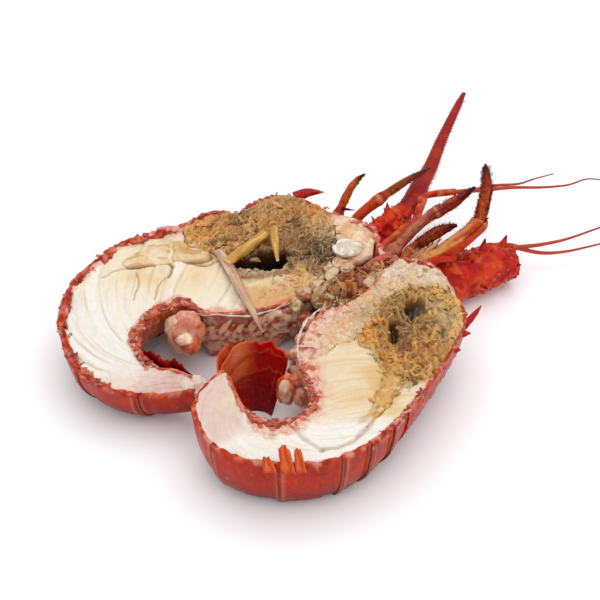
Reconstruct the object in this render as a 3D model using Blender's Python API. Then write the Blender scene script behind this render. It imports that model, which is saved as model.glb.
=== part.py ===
"""A cooked spiny lobster, split lengthwise and opened out on a flat surface.

Both halves lie on their flanks with the cut faces up and stay joined at the mouth.
All sizes are in millimetres until a mesh is made. X runs to the right, Y away from
the tails and Z up. The origin ends at the bottom centre of the whole lobster.
"""

import math
import random

import bmesh
import bpy
import numpy as np
from mathutils import Matrix

MM = 0.001
SEED = 11

# Body
CUT_HEIGHT = 38.0        # height of both cut faces at the drawing's centre
LEFT_TILT = 10.0         # degrees that the left cut face falls towards the tail
RIGHT_TILT = 3.0
SECTION_POWER = 2.4      # 2 is an ellipse, more is boxier
ARC_STEPS = 10           # facets from back to belly
TAIL_STEP = 0.5          # distance between rings in the tail, in stations
SHELL = 1.3              # thickness of shell and belly skin
FLARE = 0.8              # how far a plate's rear edge stands out over the next
MEAT_INSET = SHELL + 0.8 # from the outer surface of the shell to the meat
PLATE_END = 0.74         # where the back plates end, from back (0) to belly (1)
GAP = 0.3                # clearance between neighbours
PLATE_GAP = 0.035        # clearance between plates, in stations
STATION_GAP = 0.05       # clearance between contents along the body, in stations
SHARE_GAP = 0.012        # and across it, as a share of the width

# Spines on the carapace: station, place on the arc from back to belly, height
SPINE_ROWS = tuple((u, t, 2.2) for u in (1.6, 3.0, 4.4, 5.8) for t in (0.14, 0.3))

# Each row crosses the body from back to belly: the back point and the belly point on
# the cut face, and the depth of the flank below it. The rows run from the front of the
# head (0) over the rear edge of the carapace (7) to the end of the tail (16).
LEFT_STATIONS = (
    (37, 2, 35, -12, 10),
    (29, 12.5, 27, -16, 18),
    (15, 18, 14, -24, 26),
    (0, 28, 2, -36, 32),
    (-15, 29, -10, -42, 35),
    (-29, 18, -22, -45, 36),
    (-42, 18, -33, -47, 36),
    (-55, 11, -45, -46, 34),
    (-70, 5, -52, -41, 32),
    (-86, -2, -60, -43, 30),
    (-101, -18, -67, -49, 29),
    (-110, -37, -72, -57, 27),
    (-108.5, -59, -72, -65, 25),
    (-99, -79, -68, -72, 23.5),
    (-83, -90, -62, -77, 22),
    (-64, -93, -54, -78, 20),
    (-46, -91, -44, -84, 16),
)
RIGHT_STATIONS = (
    (66, -24, 46, -15, 12),
    (72, -38, 38, -24, 22),
    (75, -55, 30, -37, 29),
    (69, -71, 20, -46, 33),
    (62.5, -83, 10, -50, 34),
    (56.5, -94, 5, -57, 34),
    (51, -103, 1, -68, 34),
    (46, -110.5, -1.5, -80, 34),
    (39.5, -119, 2, -92, 34),
    (30, -128.5, 5, -101, 34),
    (15, -137.5, 3, -110, 33.5),
    (-2, -140.5, -4, -115, 32.5),
    (-20, -138.5, -12, -116.5, 31.5),
    (-35, -131, -19, -113, 30),
    (-43.5, -117, -24, -107, 28),
    (-44, -102, -28, -97, 25),
    (-34, -87, -31, -88, 15),
)
CARAPACE_REAR = 7.0
TAIL_END = 16.0
LEFT_PLATES = (7.0, 8.3, 9.4, 10.5, 11.7, 13.0, 14.6, TAIL_END)
RIGHT_PLATES = (7.0, 8.0, 9.0, 9.8, 11.35, 13.05, 14.7, TAIL_END)

# Contents of the head and tail
LEFT_HEAD_END = 2.05     # station where the head's own meat ends
RIGHT_HEAD_END = 1.6
LEFT_TAIL_MEAT_FROM = 5.4
RIGHT_TAIL_MEAT_FROM = 6.2
TOMALLEY_SHARE = 0.6     # of the width from back to belly that the tomalley fills
CAVITY_DEPTH = 12.0

# Ridges of muscle across the cut face of the tail: wavelength scale and height
LEFT_RIDGES = (5.0, 0.7)
RIGHT_RIDGES = (6.0, 0.8)

# What lies on or crosses the left cut face, as (across, up, above the face)
BACK_MUSCLE_PATH = ((-38, -9, -0.5), (-48, -8, -0.5), (-60, -7, -0.5), (-70, -7, -0.5),
                    (-77, -9, -0.5))
BLADE_PATH = ((-39, -10, 3.2), (-34, -19, 3.2), (-27, -35, 3.0), (-21, -48, 2.0),
              (-17, -55, -3))
BLADE_RADII = (2.9, 3.0, 2.4, 1.6, 0.4)
LEFT_GLAND_PLACE = (22, -8, 1.5)
LEFT_HORN_PATH = ((-3, 31.8, -3.5), (4, 33.6, -2), (12, 33, -1))

# What lies on the right cut face, measured in the same way
STRIP_PATH = ((44, -84, 0.2), (43, -92, 0.2), (39, -102, 0.2), (34, -111, 0.2),
              (27, -119, 0.2))
SHARDS = (  # foot, width, height
    ((-12.5, -139.6), 4.0, 5.0),
    ((-7.0, -140.0), 4.6, 8.5),
    ((-1.0, -140.0), 3.2, 7.0),
)

# Rods, antennae, feelers and legs, as paths (x, y, z) with a radius along each
ROD_PATHS = (
    ((-34.5, -19, 38.5), (-25.5, -10.7, 41), (-16.5, -2, 43)),
    ((-12.5, 1.5, 43.5), (-11.8, -5, 39), (-10.5, -11.5, 33.5)),
)
ROD_RADII = ((1.8, 2.2, 1.8), (1.7, 1.8, 1.4))
LEFT_ROOT_PATH = ((33, 20, 12), (38, 28, 14), (42, 32.5, 17), (48, 39, 20.5), (54, 43, 24))
LEFT_ROOT_RADII = (6, 7, 7, 6.5, 5.2)
LEFT_ROOT_SPINES = (  # foot and tip of each
    ((37, 30, 19), (35, 34, 27)),
    ((46, 40, 24), (46, 45, 31)),
    ((54, 37, 24), (58, 41, 29)),
)
LEFT_WHIP_PATH = ((56.5, 46, 25), (59, 51, 26), (62.6, 60, 28), (68.7, 73, 30),
                  (76.2, 93.5, 34), (86, 118.5, 38), (91.5, 132, 40))
LEFT_WHIP_RADII = (4.8, 4.6, 3.8, 3.5, 3.9, 2.4, 0.9)
WHIP_TEETH = 6           # pairs along the whip
WHIP_TEETH_FROM, WHIP_TEETH_TO = 0.08, 0.88
LEFT_STALK_PATH = ((40, 11, 22), (48.2, 19.5, 26), (57.5, 29.5, 27), (61, 38.5, 28.5),
                   (65, 47.5, 30), (80, 51, 30))
LEFT_FEELER_PATHS = (
    ((79.5, 50.8, 30), (90, 53.5, 29.5), (101, 58, 29), (114, 61, 28), (124, 68.6, 26),
     (135, 76, 24)),
    ((79.5, 50.8, 30), (95, 54, 29), (110.4, 59, 27), (127, 63.5, 24), (141.6, 68.5, 22),
     (154, 77, 20), (166, 78, 18)),
)
RIGHT_ROOT_PATH = ((62.5, -5.5, 12), (69, -1.3, 12), (82, 5.6, 11.5), (96.5, 13.5, 11),
                   (107, 17.5, 9.8))
RIGHT_ROOT_RADII = (9.5, 11.2, 11.3, 10.6, 8.2)
RIGHT_ROOT_SPINES = (
    ((91, 15, 18), (92.3, 18, 25)),
    ((101, 20, 16), (104, 24, 22.5)),
    ((103, 10, 14), (110, 8, 16)),
    ((88, 0, 12), (92, -6, 12)),
)
RIGHT_STALK_PATH = ((62, 8, 12), (72, 15.2, 10.5), (82, 21.5, 10), (92, 26.5, 11),
                    (101, 28, 12.5), (109.6, 23.5, 15))
RIGHT_FEELER_PATHS = (
    ((109.3, 23.6, 15), (122, 24, 16.5), (135.6, 28, 17), (154.5, 39, 16), (163, 44, 15)),
    ((109.3, 23.6, 15), (122, 23, 12), (135.7, 26, 10.5), (154, 34, 9), (163, 38.5, 8)),
)
RIGHT_HORN_PATH = ((77.6, -54, 34), (79.6, -50, 35), (82.2, -47, 36))
EYE_STALK_PATH = ((56.8, -18, 32), (62.3, -9.5, 32), (68.5, -5.8, 30.5), (75, -2, 28))
LEGS = (  # path from the chest to the claw, radii, side spurs as foot and tip
    (((8, 39, 5), (14, 44, 10), (19.6, 50, 16), (23, 54, 22), (26.6, 59, 27),
      (30.3, 62.5, 30), (34, 62.7, 33)),
     (2.6, 2.8, 2.6, 2.4, 2.0, 1.4, 0.4),
     (((22, 50, 20), (29.3, 45.6, 22)),)),
    (((20, 34, 9), (25, 37.5, 15), (30.8, 41.7, 22), (41, 46.3, 29), (47.5, 49.7, 32),
      (56.7, 55.6, 35), (67.5, 61, 38)),
     (2.8, 2.8, 2.7, 2.7, 2.3, 1.8, 0.5), ()),
    (((37.8, -4, 19.5), (45.5, 6.5, 25), (54.4, 16.2, 30), (64.5, 23, 35),
      (74.5, 27, 39), (87.5, 36.3, 43)),
     (2.6, 2.6, 2.4, 2.4, 2.8, 0.5), ()),
    (((44, -6.5, 16), (49.5, 2.0, 21.5), (55.2, 8.5, 25), (61.5, 11.4, 29),
      (69, 14.8, 32), (77.4, 17, 34)),
     (2.4, 2.8, 2.8, 3.0, 2.8, 0.8), ()),
    (((50, -8, 18), (57, -3, 23.5), (62.3, -1, 26), (70.2, 2.5, 29), (79.2, 8, 32),
      (88, 15.8, 35), (90.5, 18.5, 38), (91.5, 24, 42), (92.5, 30.5, 46),
      (92.6, 37.3, 50), (92.7, 43.7, 52)),
     (3.0, 3.4, 3.6, 3.8, 4.2, 3.6, 2.8, 2.8, 2.6, 1.8, 0.6), ()),
)

# The block of mouth parts between the two heads
MOUTH_LEFT_EDGE = ((4, -37), (14, -25.5), (26, -17.5), (36, -13), (45, -8))
MOUTH_RIGHT_EDGE = ((10, -48), (20, -44), (30, -35), (38, -22.5), (47, -13))
MOUTH_HEIGHT = 30.0

# Leaves of the right tail fan: name, radii, turn in degrees, height
FAN_CENTRE = (-20, -85)
FAN_LEAVES = (
    ("right_fan_inner", (14.5, 13), (176, 32), 37),
    ("right_fan_outer", (17.5, 16), (172, 112), 34),
)
LEAF_THICKNESS = 1.2

# Looks: name, base colour and roughness
SHELL_LOOK = ("shell_red", (0.52, 0.045, 0.018), 0.35)
DARK_LOOK = ("dark_shell", (0.22, 0.008, 0.006), 0.35)
LEG_LOOK = ("leg_red", (0.42, 0.05, 0.02), 0.45)
MEAT_LOOK = ("meat_white", (0.84, 0.79, 0.70), 0.5)
CREAM_LOOK = ("meat_cream", (0.80, 0.62, 0.42), 0.55)
TOMALLEY_LOOK = ("tomalley", (0.42, 0.27, 0.08), 0.6)
SKIN_LOOK = ("belly_skin", (0.72, 0.36, 0.25), 0.5)
STICK_LOOK = ("yellow_rod", (0.62, 0.38, 0.07), 0.5)
TOOL_LOOK = ("cutting_tool", (1.0, 1.0, 1.0), 0.5)


def clear_scene():
    for old in list(bpy.data.objects):
        bpy.data.objects.remove(old)


def blended(rows, u):
    """Catmull-Rom value of a table of rows at the fractional row u."""
    rows = np.asarray(rows, float)
    i = int(min(max(math.floor(u), 0), len(rows) - 2))
    f = u - i
    before = rows[max(i - 1, 0)]
    start = rows[i]
    end = rows[i + 1]
    after = rows[min(i + 2, len(rows) - 1)]
    slope_in = (end - before) / 2
    slope_out = (after - start) / 2
    return (
        (2 * f**3 - 3 * f**2 + 1) * start
        + (f**3 - 2 * f**2 + f) * slope_in
        + (3 * f**2 - 2 * f**3) * end
        + (f**3 - f**2) * slope_out
    )


def bump(x, y, centre, radii):
    """A smooth hill of height 1 over an oval."""
    return math.exp(-(((x - centre[0]) / radii[0]) ** 2) - ((y - centre[1]) / radii[1]) ** 2)


class Half:
    """One half of the body, lying on its flank with the cut face up."""

    def __init__(self, stations, tilt, content_breaks):
        self.stations = np.array(stations, float)
        in_head = [float(k) for k in range(1, int(CARAPACE_REAR))]
        tail_count = round((TAIL_END - CARAPACE_REAR) / TAIL_STEP)
        in_tail = [CARAPACE_REAR + k * TAIL_STEP for k in range(tail_count + 1)]
        self.ring_places = sorted((*in_head, *content_breaks, *in_tail))
        self.cos = math.cos(math.radians(tilt))
        self.sin = math.sin(math.radians(tilt))

    def rings(self, first, last):
        """Where rings lie between two stations: shell and contents share them."""
        close = 0.25 * TAIL_STEP
        inner = [u for u in self.ring_places if first + close < u < last - close]
        return [first, *inner, last]

    def place(self, a, b, height):
        """The point over (a, b) of the cut face."""
        y = b * self.cos - height * self.sin
        z = CUT_HEIGHT + b * self.sin + height * self.cos
        return np.array((a, y, z))

    def flank(self, u, t, inset=0.0, floor=0.0):
        """A point of the skin: t runs from 0 at the back to 1 at the belly."""
        row = blended(self.stations, u)
        back, belly, depth = row[:2], row[2:4], row[4]
        length = np.linalg.norm(belly - back)
        reach = (length / 2 - inset) * -chord_cosine(t)
        a, b = (back + belly) / 2 + (belly - back) / length * reach
        drop = max(depth - inset, 0.5) * abs(math.sin(math.pi * t)) ** (2 / SECTION_POWER)
        point = self.place(a, b, -drop)
        point[2] = max(point[2], floor + max(inset, 0.0))
        return point

    def over(self, u, t, inset, height):
        """The point that stands over flank(u, t) on the cut face, raised by height."""
        row = blended(self.stations, u)
        back, belly = row[:2], row[2:4]
        length = np.linalg.norm(belly - back)
        reach = (length / 2 - inset) * -chord_cosine(t)
        a, b = (back + belly) / 2 + (belly - back) / length * reach
        return self.place(a, b, height(a, b))


def chord_cosine(t):
    """1 at the back and -1 at the belly, spaced as the section's curve is."""
    c = math.cos(math.pi * t)
    return math.copysign(abs(c) ** (2 / SECTION_POWER), c)


def arc_at(width_share):
    """The place on the section's curve under this share of the cut face's width."""
    c = 1 - 2 * width_share
    return math.acos(math.copysign(abs(c) ** (SECTION_POWER / 2), c)) / math.pi


def material(name, colour, roughness):
    """A plain coloured surface, shared by every piece of its kind."""
    found = bpy.data.materials.get(name)
    if found:
        return found
    made = bpy.data.materials.new(name)
    made.use_nodes = True
    shader = made.node_tree.nodes["Principled BSDF"]
    shader.inputs["Base Color"].default_value = (*colour, 1)
    shader.inputs["Roughness"].default_value = roughness
    made.diffuse_color = (*colour, 1)
    return made


def solid(name, points, faces, look):
    """One closed mesh object from points in millimetres."""
    mesh = bpy.data.meshes.new(name)
    mesh.from_pydata([tuple(p) for p in np.asarray(points) * MM], [], faces)
    shape = bmesh.new()
    shape.from_mesh(mesh)
    bmesh.ops.remove_doubles(shape, verts=shape.verts, dist=1e-6)
    bmesh.ops.triangulate(shape, faces=shape.faces)
    bmesh.ops.recalc_face_normals(shape, faces=shape.faces)
    shape.to_mesh(mesh)
    shape.free()
    mesh.shade_smooth()
    mesh.set_sharp_from_angle(angle=math.radians(50))
    made = bpy.data.objects.new(name, mesh)
    bpy.context.scene.collection.objects.link(made)
    mesh.materials.append(material(*look))
    return made


def slab(name, lower, upper, look):
    """A closed solid between two equal grids of points; edges that meet are welded."""
    rows, columns = len(lower), len(lower[0])
    points = [p for grid in (lower, upper) for row in grid for p in row]
    top = rows * columns
    faces = []
    for i in range(rows - 1):
        for j in range(columns - 1):
            k = i * columns + j
            faces.append((k, k + 1, k + columns + 1, k + columns))
            faces.append((top + k, top + k + columns, top + k + columns + 1, top + k + 1))
    for i in range(rows - 1):
        for j in (0, columns - 1):
            k = i * columns + j
            faces.append((k, k + columns, top + k + columns, top + k))
    for j in range(columns - 1):
        for i in (0, rows - 1):
            k = i * columns + j
            faces.append((k, k + 1, top + k + 1, top + k))
    return solid(name, points, faces, look)


def shell_patch(name, half, span, arc, look, flare=0.0):
    """A piece of shell over the stations in span and the arc from back to belly."""
    columns = max(2, round((arc[1] - arc[0]) * ARC_STEPS))
    outer, inner = [], []
    for u in half.rings(*span):
        out = -flare * ((u - span[0]) / (span[1] - span[0])) ** 2
        places = [arc[0] + (arc[1] - arc[0]) * j / columns for j in range(columns + 1)]
        outer.append([half.flank(u, t, out) for t in places])
        inner.append([half.flank(u, t, SHELL) for t in places])
    return slab(name, outer, inner, look)


def filling(name, half, span, arc_start, arc_end, height, look):
    """What fills the shell between two lines of the cut face, down to the flank."""
    lower, upper = [], []
    for u in half.rings(*span):
        start, end = arc_start(u), arc_end(u)
        places = [start + (end - start) * j / ARC_STEPS for j in range(ARC_STEPS + 1)]
        lower.append([half.flank(u, t, MEAT_INSET) for t in places])
        upper.append([half.over(u, t, MEAT_INSET, height) for t in places])
        for j in range(ARC_STEPS + 1):
            upper[-1][j][2] = max(upper[-1][j][2], lower[-1][j][2])
    return slab(name, lower, upper, look)


def tube(name, path, radii, look, sides=8, flatness=1.0, count=8):
    """A round or flattened bar along a smooth path, closed at both ends."""
    last = len(path) - 1
    centres = np.array([blended(path, last * i / count) for i in range(count + 1)])
    widths = [float(blended([[r] for r in radii], (len(radii) - 1) * i / count)[0])
              for i in range(count + 1)]
    tangents = np.gradient(centres, axis=0)
    tangents /= np.linalg.norm(tangents, axis=1)[:, None]
    points = []
    for centre, tangent, width in zip(centres, tangents, widths):
        side = np.cross((0.0, 0.0, 1.0), tangent)
        side /= np.linalg.norm(side)
        top = np.cross(tangent, side)
        for k in range(sides):
            angle = 2 * math.pi * k / sides
            across = side * math.cos(angle) + top * math.sin(angle) * flatness
            points.append(centre + across * max(width, 0.25))
    faces = []
    for i in range(count):
        for k in range(sides):
            a = i * sides + k
            b = i * sides + (k + 1) % sides
            faces.append((a, b, b + sides, a + sides))
    faces.append(tuple(range(sides)))
    faces.append(tuple(range(count * sides, (count + 1) * sides)))
    return solid(name, points, faces, look)


def lump(name, centre, radii, look, turn=0.0, rings=5, sides=8):
    """An egg shape with its own three radii, turned about Z by turn degrees."""
    points = [(0, 0, -radii[2])]
    for i in range(1, rings):
        polar = math.pi * i / rings
        for k in range(sides):
            angle = 2 * math.pi * k / sides
            ring = math.sin(polar)
            points.append((radii[0] * ring * math.cos(angle),
                           radii[1] * ring * math.sin(angle),
                           -radii[2] * math.cos(polar)))
    points.append((0, 0, radii[2]))
    faces = []
    top = len(points) - 1
    for k in range(sides):
        n = (k + 1) % sides
        faces.append((0, 1 + n, 1 + k))
        faces.append((top, top - sides + k, top - sides + n))
        for i in range(rings - 2):
            a = 1 + i * sides
            faces.append((a + k, a + n, a + sides + n, a + sides + k))
    c, s = math.cos(math.radians(turn)), math.sin(math.radians(turn))
    spun = np.array(points) @ np.array(((c, s, 0), (-s, c, 0), (0, 0, 1)))
    return solid(name, spun + np.array(centre, float), faces, look)


def apply_boolean(target, operation, others, solver="EXACT"):
    """Applies one Boolean with a collection of others, then removes them."""
    tools = bpy.data.collections.new("tools")
    bpy.context.scene.collection.children.link(tools)
    for other in others:
        for home in list(other.users_collection):
            home.objects.unlink(other)
        tools.objects.link(other)
    modifier = target.modifiers.new("cut", "BOOLEAN")
    modifier.operation = operation
    modifier.operand_type = "COLLECTION"
    modifier.collection = tools
    modifier.solver = solver
    bpy.context.view_layer.update()
    graph = bpy.context.evaluated_depsgraph_get()
    result = bpy.data.meshes.new_from_object(target.evaluated_get(graph))
    target.modifiers.clear()
    old = target.data
    result.name = old.name
    target.data = result
    bpy.data.meshes.remove(old)
    for other in list(tools.objects):
        bpy.data.objects.remove(other)
    bpy.data.collections.remove(tools)
    return target


def swollen(piece, by):
    """A copy of a piece with its skin moved out by so many millimetres."""
    mesh = piece.data.copy()
    shape = bmesh.new()
    shape.from_mesh(mesh)
    shape.normal_update()
    moved = [v.co + v.normal * by * MM for v in shape.verts]
    for vertex, place in zip(shape.verts, moved):
        vertex.co = place
    shape.to_mesh(mesh)
    shape.free()
    copy = bpy.data.objects.new("room", mesh)
    bpy.context.scene.collection.objects.link(copy)
    return copy


def make_room(host, *guests, gap=2 * GAP):
    """Cuts from host the space that the guests and their clearance take."""
    for guest in guests:
        apply_boolean(host, "DIFFERENCE", [swollen(guest, gap)])
    return host


def envelope(half, out=FLARE + GAP + 0.1):
    """The whole half as one plain solid, a little larger than its shell."""
    lower, upper = [], []
    for u in half.rings(0.0, TAIL_END):
        places = [j / ARC_STEPS for j in range(ARC_STEPS + 1)]
        lower.append([half.flank(u, t, -out, floor=-9.0) for t in places])
        upper.append([half.over(u, t, -out, lambda a, b: 4.0) for t in places])
    return slab("envelope", lower, upper, TOOL_LOOK)


def set_down(piece):
    """Flattens what would reach below the surface that the lobster lies on."""
    for vertex in piece.data.vertices:
        vertex.co.z = max(vertex.co.z, 0.0)
    return piece


def spined(base, spines, radius):
    """Fuses small pointed spines, each given as its foot and its tip, to a base."""
    cones = [
        tube("spine", ends, (radius, 0.25), SHELL_LOOK, sides=5, count=1) for ends in spines
    ]
    return apply_boolean(base, "UNION", cones)

def carapace(side, half):
    """The head's shell with rows of small spines that point forward."""
    shell = shell_patch(side + "_carapace", half, (0.0, CARAPACE_REAR - PLATE_GAP),
                        (0.0, 0.68), SHELL_LOOK, flare=0.4)
    draw = random.Random(SEED + len(side))
    spines = []
    for u, t, rise in ((2.7, 0.03, 3.2), (3.4, 0.04, 3.0), *SPINE_ROWS):
        u_here = u + draw.uniform(-0.2, 0.2)
        foot = half.flank(u_here, t, 0.5)
        tip = half.flank(u_here - 0.25, t, -rise)
        spines.append((foot, tip))
    return spined(shell, spines, 1.4)


def plates(side, half, ends):
    """The seven overlapping back plates of the tail; the last is the tail's end."""
    made = []
    for k, (first, last) in enumerate(zip(ends, ends[1:]), 1):
        name = f"{side}_tail_plate_{k}" if k < 7 else side + "_tail_end_plate"
        span = (first + PLATE_GAP, last - PLATE_GAP)
        made.append(shell_patch(name, half, span, (0.0, PLATE_END), SHELL_LOOK, FLARE))
    return made


def belly(side, half):
    """The skin of the belly, under the head and under the tail."""
    chest = shell_patch(side + "_chest_skin", half, (1.2, CARAPACE_REAR - PLATE_GAP),
                        (0.7, 1.0), SKIN_LOOK)
    tail = shell_patch(side + "_tail_skin", half, (CARAPACE_REAR + PLATE_GAP, 15.6),
                       (0.76, 1.0), SKIN_LOOK)
    return chest, tail


def leg_bases(side, half, stations):
    """The stumps of the walking legs, a row of knuckles fused along the chest."""
    row = []
    for k, u in enumerate(stations):
        centre = half.flank(u, 0.8, -2.0)
        size = 6.8 - 0.2 * k
        row.append(lump("knuckle", centre, (size, 5.6, 8.5), CREAM_LOOK, turn=25))
    whole = apply_boolean(row[0], "UNION", row[1:])
    whole.name = side + "_leg_bases"
    apply_boolean(whole, "DIFFERENCE", [envelope(half)])
    return set_down(whole)


def ridged(wave, height):
    """The gentle ridges of muscle that run across a cut face."""
    return lambda a, b: height * math.sin(a / wave + b / (1.7 * wave)) + 0.8


def whole_width(half, name, span, height, look):
    """Contents that reach from the back to the belly."""
    return filling(name, half, span, lambda u: 0.0, lambda u: 1.0, height, look)


def left_contents(half):
    """Meat, tomalley and the sunken cavity of the left half."""
    rise_places = (LEFT_TAIL_MEAT_FROM - 0.5, LEFT_TAIL_MEAT_FROM, 6.0, 7.4)
    rise_shares = (TOMALLEY_SHARE, 0.5, 0.46, 0.0)
    body = (LEFT_HEAD_END + STATION_GAP, LEFT_TAIL_MEAT_FROM - STATION_GAP)

    def border(u):
        return float(np.interp(u, rise_places, rise_shares))

    def viscera(a, b):
        rough = 1.3 * math.sin(0.55 * a + 0.4 * b) * math.cos(0.35 * a - 0.6 * b)
        return 2.5 + rough - CAVITY_DEPTH * bump(a, b, (-17, -14), (14, 7))

    def head_top(a, b):
        return 1.5 + 0.8 * math.sin(0.5 * a) * math.cos(0.5 * b)

    def chest_top(a, b):
        return 1 + 0.8 * math.sin(0.7 * a) - 5 * bump(a, b, (-15, -18), (12, 4))

    head = whole_width(half, "left_head_meat", (0.15, LEFT_HEAD_END), head_top, CREAM_LOOK)
    tomalley = filling("left_tomalley", half, (body[0], 7.1), lambda u: 0.0,
                       lambda u: arc_at(max(border(u) - SHARE_GAP, 0.02)), viscera,
                       TOMALLEY_LOOK)
    chest = filling("left_chest_meat", half, body,
                    lambda u: arc_at(TOMALLEY_SHARE + SHARE_GAP), lambda u: 1.0, chest_top,
                    CREAM_LOOK)
    tail = filling("left_tail_meat", half, (LEFT_TAIL_MEAT_FROM, TAIL_END - 0.2),
                   lambda u: arc_at(border(u)), lambda u: 1.0, ridged(*LEFT_RIDGES),
                   MEAT_LOOK)
    return head, tomalley, chest, tail


def right_contents(half):
    """Meat, tomalley and the two small hollows of the right half."""
    body = (RIGHT_HEAD_END + STATION_GAP, RIGHT_TAIL_MEAT_FROM - STATION_GAP)

    def viscera(a, b):
        rough = 1.2 * math.sin(0.5 * a - 0.45 * b) * math.cos(0.4 * a + 0.5 * b)
        hollows = 6 * bump(a, b, (53, -50), (5, 4)) + 6 * bump(a, b, (42, -66), (4, 7))
        return 2.0 + rough - hollows

    def head_top(a, b):
        return 1.8 + 0.8 * math.sin(0.6 * a) * math.cos(0.5 * b)

    def chest_top(a, b):
        return 1.0 + 0.7 * math.sin(0.6 * b)

    whole_width(half, "right_head_meat", (0.15, RIGHT_HEAD_END), head_top, CREAM_LOOK)
    tomalley = filling("right_tomalley", half, body, lambda u: 0.0,
                       lambda u: arc_at(TOMALLEY_SHARE - SHARE_GAP), viscera,
                       TOMALLEY_LOOK)
    filling("right_chest_meat", half, body, lambda u: arc_at(TOMALLEY_SHARE + SHARE_GAP),
            lambda u: 1.0, chest_top, CREAM_LOOK)
    tail = whole_width(half, "right_tail_meat", (RIGHT_TAIL_MEAT_FROM, TAIL_END - 0.2),
                       ridged(*RIGHT_RIDGES), MEAT_LOOK)
    return tomalley, tail


def placed(half, path):
    """The points of a path that is measured on the cut face."""
    return [half.place(*point) for point in path]


def band(name, half, path, width, thickness, look):
    """A flattened cord of muscle or tomalley that lies in the cut face."""
    tapers = (0.45 * width, width, width, width, 0.4 * width)
    return tube(name, placed(half, path), tapers, look, flatness=thickness / width, count=7)


def horn(name, path, radius):
    """A stout horn that stands over an eye."""
    return tube(name, path, (radius, 0.8 * radius, 0.35), SHELL_LOOK, count=5)


def antennule(side, stalk, whips):
    """The small forked feeler: one jointed stalk and two thin whips."""
    base = tube(side + "_antennule", stalk, (2.2, 2.2, 2.1, 1.8), LEG_LOOK, sides=6)
    arms = [tube("arm", whip, (1.2, 1.0, 0.7), LEG_LOOK, sides=5, count=7) for whip in whips]
    return apply_boolean(base, "UNION", arms)


def leg(name, path, radii, spurs):
    """A walking leg or mouth leg, from its foot in the chest to its claw."""
    limb = tube(name, path, radii, LEG_LOOK, count=len(path) + 3)
    if spurs:
        spined(limb, spurs, 1.2)
    return set_down(limb)


def antenna_whip(path, radii):
    """The broad stiff whip of the left antenna, with small teeth along both edges."""
    whip = tube("left_antenna_whip", path, radii, SHELL_LOOK, flatness=0.55, count=12)
    teeth = []
    last = len(path) - 1
    for share in np.linspace(WHIP_TEETH_FROM, WHIP_TEETH_TO, WHIP_TEETH):
        centre = blended(path, last * share)
        ahead = blended(path, last * share + 0.05) - centre
        ahead /= np.linalg.norm(ahead)
        side = np.cross((0.0, 0.0, 1.0), ahead)
        side /= np.linalg.norm(side)
        reach = float(blended([[r] for r in radii], (len(radii) - 1) * share)[0])
        for hand in (-1, 1):
            foot = centre + side * hand * reach * 0.7
            tip = centre + side * hand * (reach + 1.6) + ahead * 2.0
            teeth.append((foot, tip))
    return spined(whip, teeth, 0.9)


def antenna_base(name, path, radii, spikes):
    """The swollen spiny root of an antenna."""
    root = tube(name, path, radii, SHELL_LOOK, sides=12, flatness=0.92)
    spined(root, spikes, 2.0)
    return set_down(root)


def fan_leaf(name, radii, turn, height):
    """A leaf of the tail fan: part of a cone wall that stands on its narrow end."""
    across, up = 8, 4
    walls = []
    for inset in (0.0, LEAF_THICKNESS):
        wall = []
        for i in range(up + 1):
            f = i / up
            grow = 0.6 + 0.4 * math.sin(0.5 * math.pi * f)
            row = []
            for j in range(across + 1):
                g = j / across
                angle = math.radians(turn[0] + (turn[1] - turn[0]) * g)
                edge = 1 - 0.1 * (2 * abs(g - 0.5)) ** 4 + 0.03 * math.sin(11 * g)
                row.append((FAN_CENTRE[0] + (radii[0] * grow - inset) * math.cos(angle),
                            FAN_CENTRE[1] + (radii[1] * grow - inset) * math.sin(angle),
                            height * f * edge))
            wall.append(row)
        walls.append(wall)
    return slab(name, walls[0], walls[1], DARK_LOOK)


def left_fan(half):
    """The left tail fan, folded against the belly inside the curl."""
    walls = []
    for out in (-2.0, -2.0 - LEAF_THICKNESS):
        wall = []
        for u in half.rings(12.2, 15.6):
            row = [half.flank(u, t, out) for t in (0.8, 0.86, 0.92, 0.97, 1.0)]
            row.append(half.over(u, 1.0, out, lambda a, b: 2.0))
            wall.append(row)
        walls.append(wall)
    return slab("left_tail_fan", walls[0], walls[1], DARK_LOOK)


def shard(name, half, foot, width, rise):
    """A pointed flake of shell that stands up over the meat."""
    walls = []
    for out in (0.0, 0.9):
        wall = []
        for f in (0.0, 0.5, 1.0):
            span = width * (1 - 0.75 * f) / 2
            row = [half.place(foot[0] + hand * span, foot[1] + 0.5 * rise * f,
                              0.5 + out + rise * f) for hand in (-1, 0, 1)]
            wall.append(row)
        walls.append(wall)
    return slab(name, walls[0], walls[1], SHELL_LOOK)


def mouth_block():
    """The mouth and front leg roots, which hold the two halves together."""
    rows, columns = 10, 5
    lower, upper = [], []
    for i in range(rows + 1):
        f = (len(MOUTH_LEFT_EDGE) - 1) * i / rows
        start = blended(MOUTH_LEFT_EDGE, f)
        end = blended(MOUTH_RIGHT_EDGE, f)
        low, high = [], []
        for j in range(columns + 1):
            g = j / columns
            x, y = start + (end - start) * g
            crest = MOUTH_HEIGHT - 1.2 * f + 4 * math.sin(math.pi * g)
            rough = 1.8 * math.sin(0.8 * x) * math.sin(0.7 * y)
            low.append((x, y, 0.0))
            high.append((x, y, crest + rough))
        lower.append(low)
        upper.append(high)
    return slab("mouth_parts", lower, upper, CREAM_LOOK)


def swimmeret(side, half, stem, nub):
    """The stump of one swimmeret: a stem and a nub fused to it."""
    stump = lump(side + "_swimmeret", *stem, SKIN_LOOK)
    apply_boolean(stump, "UNION", [lump("nub", *nub, SKIN_LOOK)])
    apply_boolean(stump, "DIFFERENCE", [envelope(half)])
    return set_down(stump)


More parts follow.
